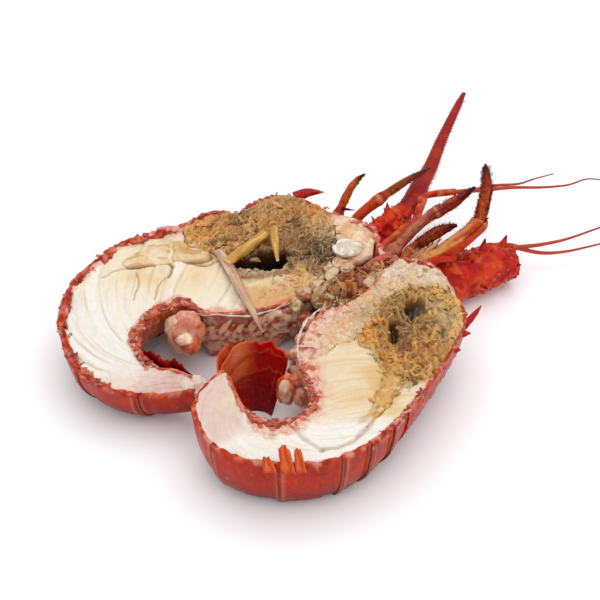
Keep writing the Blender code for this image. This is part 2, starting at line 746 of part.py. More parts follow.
def build_left(half):
    """Every piece that belongs to the left half alone."""
    carapace("left", half)
    plates("left", half, LEFT_PLATES)
    belly("left", half)
    head, tomalley, chest, tail = left_contents(half)
    muscle = band("left_back_muscle", half, BACK_MUSCLE_PATH, 6.5, 4.0, CREAM_LOOK)
    gland = lump("left_gland", half.place(*LEFT_GLAND_PLACE), (6, 5, 4), MEAT_LOOK)
    rods = [
        tube(f"yellow_rod_{k}", path, radii, STICK_LOOK, sides=6, flatness=0.7, count=4)
        for k, (path, radii) in enumerate(zip(ROD_PATHS, ROD_RADII), 1)
    ]
    blade = tube("pink_blade", placed(half, BLADE_PATH), BLADE_RADII, SKIN_LOOK,
                 flatness=0.4, count=9)
    make_room(blade, rods[0])
    make_room(tail, muscle, blade)
    make_room(chest, blade)
    make_room(tomalley, muscle, blade, *rods)
    make_room(head, gland)
    leg_bases("left", half, (6.5, 5.7, 4.9, 4.1, 3.3, 2.6))
    swimmeret("left", half, ((-53.5, -49.5, 17), (8.5, 7.5, 14)),
              ((-50.5, -55.5, 21.5), (5, 4.5, 4.5)))
    left_fan(half)
    horn("left_horn", placed(half, LEFT_HORN_PATH), 2.8)
    antenna_base("left_antenna_base", LEFT_ROOT_PATH, LEFT_ROOT_RADII, LEFT_ROOT_SPINES)
    antenna_whip(LEFT_WHIP_PATH, LEFT_WHIP_RADII)
    antennule("left", LEFT_STALK_PATH, LEFT_FEELER_PATHS)


def build_right(half):
    """Every piece that belongs to the right half alone."""
    carapace("right", half)
    plates("right", half, RIGHT_PLATES)
    belly("right", half)
    tomalley, tail = right_contents(half)
    strip = band("right_tomalley_strip", half, STRIP_PATH, 6.0, 3.5, TOMALLEY_LOOK)
    make_room(tomalley, strip)
    make_room(tail, strip)
    leg_bases("right", half, (6.4, 5.6, 4.8))
    swimmeret("right", half, ((-6.4, -84, 16), (3.2, 3.2, 14)),
              ((-2.4, -87.5, 21), (3.2, 3.4, 5)))
    for leaf in FAN_LEAVES:
        fan_leaf(*leaf)
    horn("right_horn", RIGHT_HORN_PATH, 1.7)
    for k, details in enumerate(SHARDS, 1):
        shard(f"right_shell_shard_{k}", half, *details)
    root = antenna_base("right_antenna_base", RIGHT_ROOT_PATH, RIGHT_ROOT_RADII,
                        RIGHT_ROOT_SPINES)
    feeler = antennule("right", RIGHT_STALK_PATH, RIGHT_FEELER_PATHS)
    make_room(root, feeler)
    tube("right_eye_stalk", EYE_STALK_PATH, (1.8, 1.6, 1.5, 1.4), SHELL_LOOK, sides=6,
         count=5)


def stand_on_origin():
    """Moves the whole lobster so that its box stands on the origin."""
    pieces = [o for o in bpy.data.objects if o.type == "MESH"]
    corners = np.array([v.co for o in pieces for v in o.data.vertices])
    low, high = corners.min(axis=0), corners.max(axis=0)
    base = np.array(((low[0] + high[0]) / 2, (low[1] + high[1]) / 2, low[2]))
    for piece in pieces:
        own = np.array([v.co for v in piece.data.vertices])
        middle = (own.min(axis=0) + own.max(axis=0)) / 2
        piece.data.transform(Matrix.Translation(-middle))
        piece.location = middle - base


def build():
    clear_scene()
    left = Half(LEFT_STATIONS, LEFT_TILT, (LEFT_HEAD_END, LEFT_TAIL_MEAT_FROM))
    right = Half(RIGHT_STATIONS, RIGHT_TILT, (RIGHT_HEAD_END, RIGHT_TAIL_MEAT_FROM))
    build_left(left)
    build_right(right)
    mouth_block()
    for k, details in enumerate(LEGS, 1):
        leg(f"leg_{k}", *details)
    stand_on_origin()


build()
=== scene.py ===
"""Looks of a cooked spiny lobster, split lengthwise and opened out on a pale floor.

Lengths are in millimetres and in the drawing's frame until a mesh is made. The drawing's
frame is the part's own, moved sideways by SHIFT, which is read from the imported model.
A place on a cut face is (a, b, height): a and b lie in the face and height stands out of it.
A place on a half's skin is (u, t): u counts the stations from head to tail, and t runs from
0 at the back to 1 at the belly. Colours are screen colours, each from 0 to 255.
"""

import math

import bmesh
import bpy
import numpy as np
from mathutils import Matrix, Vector
from mathutils.kdtree import KDTree


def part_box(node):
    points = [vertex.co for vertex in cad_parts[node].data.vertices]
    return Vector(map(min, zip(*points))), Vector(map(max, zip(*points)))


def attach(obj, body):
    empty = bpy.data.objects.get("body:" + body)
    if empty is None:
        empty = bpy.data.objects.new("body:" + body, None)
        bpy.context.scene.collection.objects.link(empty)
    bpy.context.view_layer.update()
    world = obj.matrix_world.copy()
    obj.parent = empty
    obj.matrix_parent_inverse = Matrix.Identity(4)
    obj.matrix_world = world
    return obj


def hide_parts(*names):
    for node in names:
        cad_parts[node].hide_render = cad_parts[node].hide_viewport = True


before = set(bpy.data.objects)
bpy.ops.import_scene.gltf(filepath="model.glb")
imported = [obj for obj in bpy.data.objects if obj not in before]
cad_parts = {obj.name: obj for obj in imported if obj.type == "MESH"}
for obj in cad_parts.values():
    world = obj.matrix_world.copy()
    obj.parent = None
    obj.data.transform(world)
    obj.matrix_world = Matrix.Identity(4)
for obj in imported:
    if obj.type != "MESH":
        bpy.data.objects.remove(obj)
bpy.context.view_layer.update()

MM = 0.001
CUT_HEIGHT = 38.0
LEFT_TILT = 10.0
RIGHT_TILT = 3.0
SECTION_POWER = 2.4
SHELL = 1.3
FLARE = 0.8
CARAPACE_REAR = 7.0
TAIL_END = 16.0

# Back point, belly point and depth at each station, as in the part
LEFT_STATIONS = (
    (37, 2, 35, -12, 10), (29, 12.5, 27, -16, 18), (15, 18, 14, -24, 26),
    (0, 28, 2, -36, 32), (-15, 29, -10, -42, 35), (-29, 18, -22, -45, 36),
    (-42, 18, -33, -47, 36), (-55, 11, -45, -46, 34), (-70, 5, -52, -41, 32),
    (-86, -2, -60, -43, 30), (-101, -18, -67, -49, 29), (-110, -37, -72, -57, 27),
    (-108.5, -59, -72, -65, 25), (-99, -79, -68, -72, 23.5), (-83, -90, -62, -77, 22),
    (-64, -93, -54, -78, 20), (-46, -91, -44, -84, 16),
)
RIGHT_STATIONS = (
    (66, -24, 46, -15, 12), (72, -38, 38, -24, 22), (75, -55, 30, -37, 29),
    (69, -71, 20, -46, 33), (62.5, -83, 10, -50, 34), (56.5, -94, 5, -57, 34),
    (51, -103, 1, -68, 34), (46, -110.5, -1.5, -80, 34), (39.5, -119, 2, -92, 34),
    (30, -128.5, 5, -101, 34), (15, -137.5, 3, -110, 33.5), (-2, -140.5, -4, -115, 32.5),
    (-20, -138.5, -12, -116.5, 31.5), (-35, -131, -19, -113, 30),
    (-43.5, -117, -24, -107, 28), (-44, -102, -28, -97, 25), (-34, -87, -31, -88, 15),
)
LEFT_PLATES = (7.0, 8.3, 9.4, 10.5, 11.7, 13.0, 14.6, TAIL_END)
RIGHT_PLATES = (7.0, 8.0, 9.0, 9.8, 11.35, 13.05, 14.7, TAIL_END)
LEFT_GLAND_PLACE = (22, -8, 1.5)


# ---------------------------------------------------------------- noise

def hashed(ix, iy, iz, seed):
    """A number of 32 bits for each whole place, mixed by multiplying with large primes."""
    h = (ix * 73856093) ^ (iy * 19349663) ^ (iz * 83492791) ^ (seed * 2654435761 % 4294967296)
    h = (h ^ (h >> 13)) & 0xFFFFFFFF
    h = (h * 1274126177) & 0xFFFFFFFF
    h = (h ^ (h >> 16)) & 0xFFFFFFFF
    h = (h * 668265263) & 0xFFFFFFFF
    return h ^ (h >> 13)


def as3(*parts):
    """Two or three coordinates as one array of points; a third that is missing is 0."""
    parts = np.broadcast_arrays(*[np.asarray(p, float) for p in parts])
    if len(parts) == 2:
        parts = [*parts, np.zeros_like(parts[0])]
    return np.stack(parts, -1)


def noise(p, size, seed=0):
    """Smooth noise from about -1 to 1, with bumps about size across."""
    q = np.asarray(p, float) / size
    base = np.floor(q).astype(np.int64)
    f = q - base
    s = f * f * f * (f * (f * 6 - 15) + 10)
    total = 0.0
    for dx in (0, 1):
        wx = s[..., 0] if dx else 1 - s[..., 0]
        for dy in (0, 1):
            wy = s[..., 1] if dy else 1 - s[..., 1]
            for dz in (0, 1):
                wz = s[..., 2] if dz else 1 - s[..., 2]
                h = hashed(base[..., 0] + dx, base[..., 1] + dy, base[..., 2] + dz, seed)
                dot = (((h & 1023) / 511.5 - 1) * (f[..., 0] - dx)
                       + (((h >> 10) & 1023) / 511.5 - 1) * (f[..., 1] - dy)
                       + (((h >> 20) & 1023) / 511.5 - 1) * (f[..., 2] - dz))
                total = total + wx * wy * wz * dot
    return total * 1.5


def fbm(p, size, octaves=3, seed=0, gain=0.5):
    """Noise with finer and weaker noise added to it."""
    total, amount = 0.0, 1.0
    for k in range(octaves):
        total = total + amount * noise(p, size / 2 ** k, seed + 17 * k)
        amount *= gain
    return total


def cells(p, size, seed=0):
    """Cell pattern: distance to the nearest point, to the second, and a number per cell."""
    q = np.asarray(p, float) / size
    base = np.floor(q).astype(np.int64)
    best = np.full(q.shape[:-1], 9.0)
    second = np.full(q.shape[:-1], 9.0)
    ident = np.zeros(q.shape[:-1])
    flat = not np.any(q[..., 2])
    for dx in (-1, 0, 1):
        for dy in (-1, 0, 1):
            for dz in ((0,) if flat else (-1, 0, 1)):
                cx, cy, cz = base[..., 0] + dx, base[..., 1] + dy, base[..., 2] + dz
                h = hashed(cx, cy, cz, seed)
                px = cx + (h & 1023) / 1023
                py = cy + ((h >> 10) & 1023) / 1023
                pz = q[..., 2] if flat else cz + ((h >> 20) & 1023) / 1023
                d = np.sqrt((px - q[..., 0]) ** 2 + (py - q[..., 1]) ** 2 + (pz - q[..., 2]) ** 2)
                nearer = d < best
                second = np.where(nearer, best, np.minimum(second, d))
                ident = np.where(nearer, (h >> 5 & 4095) / 4095, ident)
                best = np.where(nearer, d, best)
    return best, second, ident


def folds_of(p, size, seed=0):
    """Sharp-backed folds, 0 in the valleys and 1 on the crests."""
    warp = 0.5 * size
    q = np.array(p)
    q[..., 0] += warp * noise(p, 2 * size, seed + 1)
    q[..., 1] += warp * noise(p, 2 * size, seed + 2)
    coarse = 1 - np.abs(noise(q, size, seed + 3))
    fine = 1 - np.abs(noise(q, 0.45 * size, seed + 4))
    return np.clip(0.65 * coarse ** 2 + 0.35 * fine ** 2, 0, 1)


def smooth(x, low, high):
    """0 below low, 1 above high and an S curve between them."""
    x = np.clip((x - low) / (high - low), 0, 1)
    return x * x * (3 - 2 * x)


def bell(x, width):
    """1 where x is 0, falling to 0 on both sides."""
    return np.exp(-(x / width) ** 2)


# ---------------------------------------------------------------- body surface

def blended(rows, u):
    """Catmull-Rom value of a table of rows at fractional rows u."""
    rows = np.asarray(rows, float)
    u = np.asarray(u, float)
    i = np.clip(np.floor(u).astype(int), 0, len(rows) - 2)
    f = (u - i)[..., None]
    before, start = rows[np.maximum(i - 1, 0)], rows[i]
    end, after = rows[i + 1], rows[np.minimum(i + 2, len(rows) - 1)]
    slope_in, slope_out = (end - before) / 2, (after - start) / 2
    return ((2 * f**3 - 3 * f**2 + 1) * start + (f**3 - 2 * f**2 + f) * slope_in
            + (3 * f**2 - 2 * f**3) * end + (f**3 - f**2) * slope_out)


class Half:
    """One half of the body, lying on its flank with the cut face up."""

    def __init__(self, stations, tilt):
        self.stations = np.array(stations, float)
        self.cos = math.cos(math.radians(tilt))
        self.sin = math.sin(math.radians(tilt))

    def place(self, a, b, height):
        """A place on the cut face, or above or below it, as a point of the drawing."""
        a, b, height = np.broadcast_arrays(*[np.asarray(x, float) for x in (a, b, height)])
        return np.stack((a, b * self.cos - height * self.sin,
                         CUT_HEIGHT + b * self.sin + height * self.cos), -1)

    def route(self, places):
        return [self.place(*place) for place in places]

    def chord(self, u, w):
        """The place on the cut face at a share w of the way from back to belly."""
        row = blended(self.stations, u)
        w = np.asarray(w, float)[..., None]
        return row[..., :2] + (row[..., 2:4] - row[..., :2]) * w

    def flank(self, u, t, inset=0.0):
        """A point of the skin, or this far inside it."""
        u, t, inset = np.broadcast_arrays(*[np.asarray(x, float) for x in (u, t, inset)])
        row = blended(self.stations, u)
        back, belly, depth = row[..., :2], row[..., 2:4], row[..., 4]
        length = np.linalg.norm(belly - back, axis=-1)
        c = np.cos(np.pi * t)
        c = np.sign(c) * np.abs(c) ** (2 / SECTION_POWER)
        reach = (length / 2 - inset) * -c / length
        ab = (back + belly) / 2 + (belly - back) * reach[..., None]
        drop = np.maximum(depth - inset, 0.5) * np.abs(np.sin(np.pi * t)) ** (2 / SECTION_POWER)
        p = self.place(ab[..., 0], ab[..., 1], -drop)
        p[..., 2] = np.maximum(p[..., 2], np.maximum(inset, 0.0))
        return p


LEFT = Half(LEFT_STATIONS, LEFT_TILT)
RIGHT = Half(RIGHT_STATIONS, RIGHT_TILT)
gland_low, gland_high = (np.array(corner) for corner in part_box("left_gland"))
SHIFT = LEFT.place(*LEFT_GLAND_PLACE) - (gland_low + gland_high) / 2 / MM


# ---------------------------------------------------------------- painting

LIGHT_ON_TOP = 1.24      # what the studio gives a white surface that faces up
SHEEN = 0.014            # what its gloss adds to any colour


def rgb(tone):
    """A colour seen on screen, as the linear colour of a surface in this light."""
    c = np.array(tone) / 255
    c = np.where(c < 0.04045, c / 12.92, ((c + 0.055) / 1.055) ** 2.4)
    return np.maximum(c - SHEEN, 0.1 * c) / LIGHT_ON_TOP


def tinted(colours, *layers):
    """The colours with layers over them: each a screen colour, and how much of it shows."""
    for tone, amount in layers:
        amount = np.clip(np.asarray(amount, float), 0, 1)[..., None]
        colours = colours * (1 - amount) + rgb(tone) * amount
    return colours


def painted(shape, base, *layers):
    """An array of one screen colour with layers over it."""
    return tinted(np.broadcast_to(rgb(base), shape), *layers)


def turned(a, b, centre, turn):
    """Coordinates about a centre, along axes turned by some degrees."""
    c, s = math.cos(math.radians(turn)), math.sin(math.radians(turn))
    x, y = a - centre[0], b - centre[1]
    return x * c + y * s, -x * s + y * c


def spot(a, b, centre, radii, turn=0.0, power=2.0):
    """1 at the centre of a turned oval, falling to 0 outside it."""
    x, y = turned(a, b, centre, turn)
    d = (x / radii[0]) ** 2 + (y / radii[1]) ** 2
    return np.exp(-d ** (power / 2))


def patch(a, b, centre, radii, turn=0.0):
    """A spot with a flatter middle and a sharper edge."""
    return spot(a, b, centre, radii, turn, 4)


def line_distance(a, b, path):
    """Distance to a polyline, and the share of its length at the nearest point."""
    path = np.asarray(path, float)
    steps = np.linalg.norm(np.diff(path, axis=0), axis=1)
    run = np.concatenate(([0], np.cumsum(steps)))
    best = np.full(np.shape(a), 1e9)
    share = np.zeros(np.shape(a))
    for k, (p, q) in enumerate(zip(path, path[1:])):
        d = q - p
        f = np.clip(((a - p[0]) * d[0] + (b - p[1]) * d[1]) / (d @ d), 0, 1)
        away = np.hypot(a - p[0] - f * d[0], b - p[1] - f * d[1])
        near = away < best
        best = np.where(near, away, best)
        share = np.where(near, (run[k] + f * steps[k]) / run[-1], share)
    return best, share


def depth_inside(a, b, outline):
    """How far inside a closed outline a point is; negative outside."""
    outline = np.asarray(outline, float)
    away, _ = line_distance(a, b, np.vstack((outline, outline[:1])))
    inside = np.zeros(np.shape(a), bool)
    for p, q in zip(outline, np.roll(outline, -1, axis=0)):
        crosses = (p[1] > b) != (q[1] > b)
        x = (q[0] - p[0]) * (b - p[1]) / (q[1] - p[1] + 1e-12) + p[0]
        inside ^= crosses & (a < x)
    return np.where(inside, away, -away)


# ---------------------------------------------------------------- meshes

def grid_faces(rows, columns, wrap=False):
    """The four-sided faces of a grid of points, closed into a tube where it wraps."""
    k = np.arange(rows * columns).reshape(rows, columns)
    if wrap:
        k = np.hstack((k, k[:, :1]))
    return np.stack((k[:-1, :-1], k[:-1, 1:], k[1:, 1:], k[1:, :-1]), -1).reshape(-1, 4)


def capped_tube_faces(rows, columns):
    """The faces of a grid that wraps, with both of its ends closed."""
    faces = grid_faces(rows, columns, wrap=True).tolist()
    faces.append(list(range(columns)))
    faces.append([(rows - 1) * columns + k for k in range(columns)][::-1])
    return faces


def build(name, points, faces, tints, surface, nodes):
    """One shown piece, in place of the CAD nodes."""
    mesh = bpy.data.meshes.new(name)
    points = (np.asarray(points, float).reshape(-1, 3) - SHIFT) * MM
    if isinstance(faces, np.ndarray):
        faces = faces.tolist()
    mesh.from_pydata(points.tolist(), [], faces)
    mesh.validate()
    layer = mesh.color_attributes.new("tint", "FLOAT_COLOR", "POINT")
    rgba = np.ones((len(points), 4), np.float32)
    rgba[:, :3] = np.clip(np.asarray(tints, float).reshape(-1, 3), 0, 1)
    layer.data.foreach_set("color", rgba.ravel())
    mesh.shade_smooth()
    mesh.materials.append(surface)
    piece = bpy.data.objects.new(name, mesh)
    bpy.context.scene.collection.objects.link(piece)
    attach(piece, "root")
    if nodes:
        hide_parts(*nodes)


def closed_slab(top, bottom):
    """Points and faces of the solid between two equal grids."""
    rows, columns = top.shape[:2]
    n = rows * columns
    k = np.arange(n).reshape(rows, columns)
    up = grid_faces(rows, columns)
    down = grid_faces(rows, columns)[:, ::-1] + n
    ring = np.concatenate((k[0, :-1], k[:-1, -1], k[-1, :0:-1], k[:0:-1, 0]))
    after = np.roll(ring, -1)
    side = np.stack((after, ring, ring + n, after + n), -1)
    points = np.concatenate((top.reshape(-1, 3), bottom.reshape(-1, 3)))
    return points, np.concatenate((up, down, side))


class Batch:
    """Many small shapes gathered into one mesh."""

    def __init__(self):
        self.points, self.faces, self.tints, self.count = [], [], [], 0

    def add(self, points, faces, tint):
        """Adds a shape whose tint is one linear colour, or one for each point."""
        points = np.asarray(points, float).reshape(-1, 3)
        self.points.append(points)
        self.tints.append(np.broadcast_to(np.asarray(tint, float), points.shape))
        if isinstance(faces, np.ndarray):
            self.faces.extend((faces + self.count).tolist())
        else:
            self.faces.extend([[i + self.count for i in face] for face in faces])
        self.count += len(points)

    def build(self, name, surface, nodes, slot):
        build(name, np.concatenate(self.points), self.faces, np.concatenate(self.tints),
              surface, nodes)


def sphere_template(level):
    shape = bmesh.new()
    bmesh.ops.create_icosphere(shape, subdivisions=level, radius=1.0)
    points = np.array([v.co for v in shape.verts])
    faces = np.array([[v.index for v in f.verts] for f in shape.faces])
    shape.free()
    return points, faces


BLOB_LEVEL = 3       # fineness of the scattered shapes
LUMP_LEVEL = 4       # and of the large soft lumps
SPHERES = {level: sphere_template(level) for level in (BLOB_LEVEL, LUMP_LEVEL)}


def random_turn(rng):
    q = rng.normal(size=4)
    w, x, y, z = q / np.linalg.norm(q)
    return np.array(((1 - 2 * (y * y + z * z), 2 * (x * y - z * w), 2 * (x * z + y * w)),
                     (2 * (x * y + z * w), 1 - 2 * (x * x + z * z), 2 * (y * z - x * w)),
                     (2 * (x * z - y * w), 2 * (y * z + x * w), 1 - 2 * (x * x + y * y))))


def turn_about_up(angle):
    """Axes turned about the vertical."""
    c, s = math.cos(angle), math.sin(angle)
    return np.array(((c, -s, 0), (s, c, 0), (0, 0, 1)))


def tip_forward(angle):
    """Axes tipped about the second axis."""
    c, s = math.cos(angle), math.sin(angle)
    return np.array(((c, 0, s), (0, 1, 0), (-s, 0, c)))


def blob(centre, radii, axes, level=BLOB_LEVEL, rough=0.25, seed=0):
    """An uneven egg: its points and faces."""
    points, faces = SPHERES[level]
    wobble = 1 + rough * noise(points * 1.3 + seed * 7.3, 1.0, seed) \
        + 0.4 * rough * noise(points * 3.1 + seed * 3.7, 1.0, seed + 5)
    shaped = points * wobble[:, None] * np.asarray(radii, float)
    return shaped @ np.asarray(axes, float).T + np.asarray(centre, float), faces


def along(path, radii, count):
    """Points, widths and frames along a smooth path."""
    f = np.linspace(0, 1, count)
    centres = blended(path, f * (len(path) - 1))
    widths = blended([[r] for r in radii], f * (len(radii) - 1))[:, 0]
    ahead = np.gradient(centres, axis=0)
    ahead /= np.linalg.norm(ahead, axis=1)[:, None]
    side = np.cross((0.0, 0.0, 1.0), ahead)
    side /= np.linalg.norm(side, axis=1)[:, None]
    top = np.cross(ahead, side)
    return centres, widths, ahead, side, top


def tube(path, radii, count, sides, flatness=1.0, rough=0.0, rough_size=2.0, seed=0, power=2.0):
    """A bar along a path: points, faces, and each point's share of the length and its angle."""
    centres, widths, _, side, top = along(path, radii, count)
    angle = 2 * math.pi * np.arange(sides) / sides
    c, s = np.cos(angle), np.sin(angle)
    c = np.sign(c) * np.abs(c) ** (2 / power)
    s = np.sign(s) * np.abs(s) ** (2 / power)
    ring = side[:, None] * c[None, :, None] + top[:, None] * (s * flatness)[None, :, None]
    points = centres[:, None] + ring * widths[:, None, None]
    if rough:
        points = points + ring * (rough * fbm(points, rough_size, 2, seed))[..., None]
    faces = grid_faces(count, sides, wrap=True).tolist()
    n = count * sides
    faces += [[n, (k + 1) % sides, k] for k in range(sides)]
    faces += [[n + 1, n - sides + k, n - sides + (k + 1) % sides] for k in range(sides)]
    flat = np.concatenate((points.reshape(-1, 3), centres[:1], centres[-1:]))
    share = np.repeat(np.linspace(0, 1, count), sides)
    turn = np.tile(angle, count)
    return flat, faces, np.append(share, (0, 1)), np.append(turn, (0, 0))


def middle_of(path, share):
    """The points of a tube's path at these shares of its length."""
    return blended(path, share * (len(path) - 1))


def spike(foot, tip, radius, sides=4):
    """A thin pointed hair or spine."""
    foot, tip = np.asarray(foot, float), np.asarray(tip, float)
    ahead = (tip - foot) / np.linalg.norm(tip - foot)
    side = np.cross(ahead, (0.3, 0.2, 0.93))
    side /= np.linalg.norm(side)
    up = np.cross(ahead, side)
    ring = [foot + radius * (side * math.cos(a) + up * math.sin(a))
            for a in 2 * math.pi * np.arange(sides) / sides]
    faces = [[k, (k + 1) % sides, sides] for k in range(sides)] + [list(range(sides))[::-1]]
    return np.array([*ring, tip]), faces


# ---------------------------------------------------------------- looks

def look(name, rough, grain=0.9, grain_depth=0.12, bump=0.15, soft=0.0, coat=0.0, dapple=2.5,
         shine=0.5):
    """Tinted surface with fine grain in its colour, roughness and relief. Sizes in mm."""
    made = bpy.data.materials.new(name)
    made.use_nodes = True
    nodes, links = made.node_tree.nodes, made.node_tree.links
    shader = nodes["Principled BSDF"]
    place = nodes.new("ShaderNodeTexCoord")
    tint = nodes.new("ShaderNodeAttribute")
    tint.attribute_name = "tint"

    def texture(size, detail):
        made_noise = nodes.new("ShaderNodeTexNoise")
        made_noise.inputs["Scale"].default_value = 1 / (size * MM)
        made_noise.inputs["Detail"].default_value = detail
        links.new(place.outputs["Object"], made_noise.inputs["Vector"])
        return made_noise.outputs["Fac"]

    def ranged(value, low, high):
        made_range = nodes.new("ShaderNodeMapRange")
        made_range.inputs["From Min"].default_value = 0.3
        made_range.inputs["From Max"].default_value = 0.7
        made_range.inputs["To Min"].default_value = low
        made_range.inputs["To Max"].default_value = high
        links.new(value, made_range.inputs["Value"])
        return made_range.outputs["Result"]

    fine, broad = texture(grain, 4), texture(dapple, 3)
    both = nodes.new("ShaderNodeMath")
    both.operation = "MULTIPLY"
    links.new(ranged(fine, 1 - grain_depth, 1 + grain_depth), both.inputs[0])
    links.new(ranged(broad, 1 - grain_depth, 1 + grain_depth), both.inputs[1])
    shade = nodes.new("ShaderNodeVectorMath")
    shade.operation = "SCALE"
    links.new(tint.outputs["Color"], shade.inputs[0])
    links.new(both.outputs[0], shade.inputs["Scale"])
    links.new(shade.outputs[0], shader.inputs["Base Color"])
    links.new(ranged(broad, max(rough - 0.08, 0.05), rough + 0.1), shader.inputs["Roughness"])
    relief = nodes.new("ShaderNodeBump")
    relief.inputs["Strength"].default_value = 0.6
    relief.inputs["Distance"].default_value = bump * MM
    links.new(fine, relief.inputs["Height"])
    links.new(relief.outputs[0], shader.inputs["Normal"])
    shader.inputs["Specular IOR Level"].default_value = shine
    if soft:
        shader.inputs["Subsurface Weight"].default_value = soft
        shader.inputs["Subsurface Radius"].default_value = (1.0, 0.55, 0.35)
        shader.inputs["Subsurface Scale"].default_value = 1.6 * MM
    if coat:
        shader.inputs["Coat Weight"].default_value = coat
        shader.inputs["Coat Roughness"].default_value = 0.18
    return made


MEAT = look("meat", 0.42, grain=0.8, grain_depth=0.03, bump=0.08, soft=0.3, coat=0.3)
CREAM = look("cream_meat", 0.38, grain=0.8, grain_depth=0.07, bump=0.1, soft=0.25, coat=0.5)
TOMALLEY = look("tomalley", 0.4, grain=0.7, grain_depth=0.14, bump=0.16, soft=0.15, coat=0.3)
SKIN = look("belly_skin", 0.4, grain=0.8, grain_depth=0.1, bump=0.12, soft=0.1, coat=0.2)
RED = look("red_shell", 0.34, grain=0.7, grain_depth=0.1, bump=0.08, coat=0.06, shine=0.14)
FAN = look("fan_shell", 0.24, grain=1.2, grain_depth=0.08, bump=0.06, coat=0.04, shine=0.14)
LIMB = look("limb", 0.42, grain=0.5, grain_depth=0.15, bump=0.1, coat=0.03, shine=0.14)
ROD = look("amber_rod", 0.42, grain=0.6, grain_depth=0.12, bump=0.12, soft=0.1, coat=0.2)

WHITE_MEAT = (249, 243, 233)
CREAM_MEAT = (246, 231, 202)
YELLOW_MEAT = (244, 214, 160)
AMBER = (238, 200, 135)
PINK_MEAT = (236, 205, 190)
BEIGE_LINE = (222, 190, 150)
PEACH = (229, 183, 132)
SALMON = (222, 150, 108)
OCHRE = (150, 98, 34)
OLIVE = (112, 76, 28)
BEIGE = (196, 160, 112)
# painted shade: the near-black painted inside the left cavity
CAVITY_SHADE = (22, 13, 6)
DEEP_RED = (128, 20, 14)
SHELL_TINT = (186, 52, 28)
BRIGHT_RED = (204, 54, 26)
PALE_PINK = (236, 176, 158)


# ---------------------------------------------------------------- cut faces

FACE_STEP = 0.6
FACE_INSET = 0.9
FACE_THICKNESS = 5.0
BELLY_REACH = 60         # about how wide the face is, measured from its back edge
BACK_REACH = 45          # and from its belly edge


def rim_distance(w):
    """About how far a place on a cut face lies from the nearer rim."""
    return np.minimum(w * BELLY_REACH, (1 - w) * BACK_REACH)


class Face:
    """The fine relief and colours of one cut face, over stations and width."""

    def __init__(self, half, columns, paint):
        self.half = half
        fine = np.linspace(0.15, 15.85, 2000)
        back = half.chord(fine, 0.0)
        run = np.concatenate(([0], np.cumsum(np.linalg.norm(np.diff(back, axis=0), axis=1))))
        rows = int(run[-1] / FACE_STEP)
        u = np.interp(np.linspace(0, run[-1], rows), run, fine)
        self.u, self.w = np.meshgrid(u, np.linspace(0, 1, columns), indexing="ij")
        row = blended(half.stations, u)
        length = np.linalg.norm(row[:, 2:4] - row[:, :2], axis=1)[:, None]
        w = FACE_INSET / length + self.w * (1 - 2 * FACE_INSET / length)
        ab = half.chord(self.u, w)
        self.a, self.b = ab[..., 0], ab[..., 1]
        self.height, self.tint = paint(self.a, self.b, self.u, self.w)
        self.top = half.place(self.a, self.b, self.height)
        self.flat = np.stack((self.a.ravel(), self.b.ravel(), self.height.ravel()), -1)
        self.tree = KDTree(len(self.flat))
        for k, (a, b, _) in enumerate(self.flat):
            self.tree.insert((a, b, 0), k)
        self.tree.balance()

    def piece(self, name, keep, surface, nodes, slot):
        """A closed piece of the face where keep holds, with an underside."""
        rows, columns = self.u.shape
        faces = grid_faces(rows, columns)
        inside = keep.ravel()[faces].mean(axis=1) > 0.5
        faces = faces[inside]
        ends = np.stack((faces, np.roll(faces, -1, axis=1)), -1).reshape(-1, 2)
        key = np.sort(ends, axis=1) @ np.array((rows * columns, 1))
        _, first, count = np.unique(key, return_index=True, return_counts=True)
        rim = ends[first[count == 1]]
        used = np.unique(faces)
        number = np.full(rows * columns, -1)
        number[used] = np.arange(len(used))
        n = len(used)
        under = self.half.place(self.a, self.b, self.height - FACE_THICKNESS).reshape(-1, 3)
        points = np.concatenate((self.top.reshape(-1, 3)[used], under[used]))
        faces, rim = number[faces], number[rim]
        side = np.stack((rim[:, 1], rim[:, 0], rim[:, 0] + n, rim[:, 1] + n), -1)
        faces = np.concatenate((faces, faces[:, ::-1] + n, side))
        tint = self.tint.reshape(-1, 3)[used]
        build(name, points, faces, np.concatenate((tint, tint)), surface, nodes)

    def height_at(self, a, b):
        """Heights of the relief at places of the face."""
        nearest = [self.tree.find((x, y, 0))[1] for x, y in zip(np.ravel(a), np.ravel(b))]
        return self.flat[nearest, 2]


class Ground:
    """The coordinates of a cut face, plain and warped, and the noise that its regions share."""

    def __init__(self, a, b, u, w, warp, seed):
        self.a, self.b, self.u, self.w = a, b, u, w
        self.p = as3(a, b)
        self.wa = a + warp * noise(self.p, 8, seed + 1) + 0.7 * noise(self.p, 3, seed + 2)
        self.wb = b + warp * noise(self.p, 8, seed + 3) + 0.7 * noise(self.p, 3, seed + 4)
        self.wide, self.fine = fbm(self.p, 14, 3, seed + 5), fbm(self.p, 3.2, 3, seed + 8)
        self.rim = rim_distance(w)
        self.shape = (*a.shape, 3)

    def within(self, outline, low, high):
        """0 outside a region and 1 inside it."""
        return smooth(depth_inside(self.wa, self.wb, outline), low, high)

    def line(self, path, width):
        """1 on a path, falling to 0 beside it."""
        return bell(line_distance(self.wa, self.wb, path)[0], width)

    def patches(self, colours, spots):
        """The colours with flat ovals over them: tone, share, centre, radii, and maybe turn."""
        for tone, share, *oval in spots:
            colours = tinted(colours, (tone, share * patch(self.wa, self.wb, *oval)))
        return colours

    def cracks(self, height, colours, paths, tone, shade_by_depth):
        """Relief and colours with cracks cut into them: path, width and depth of each. Each crack is painted
        darker the deeper it is, as painted shade.
        """
        a, b = self.wa * 0.5 + self.a * 0.5, self.wb * 0.5 + self.b * 0.5
        for path, wide, deep in paths:
            line = bell(line_distance(a, b, path)[0], wide)
            height = height - deep * line
            # painted shade in the crack, stronger where it is deeper
            colours = tinted(colours, (tone, (shade_by_depth[0] + shade_by_depth[1] * deep) * line))
        return height, colours


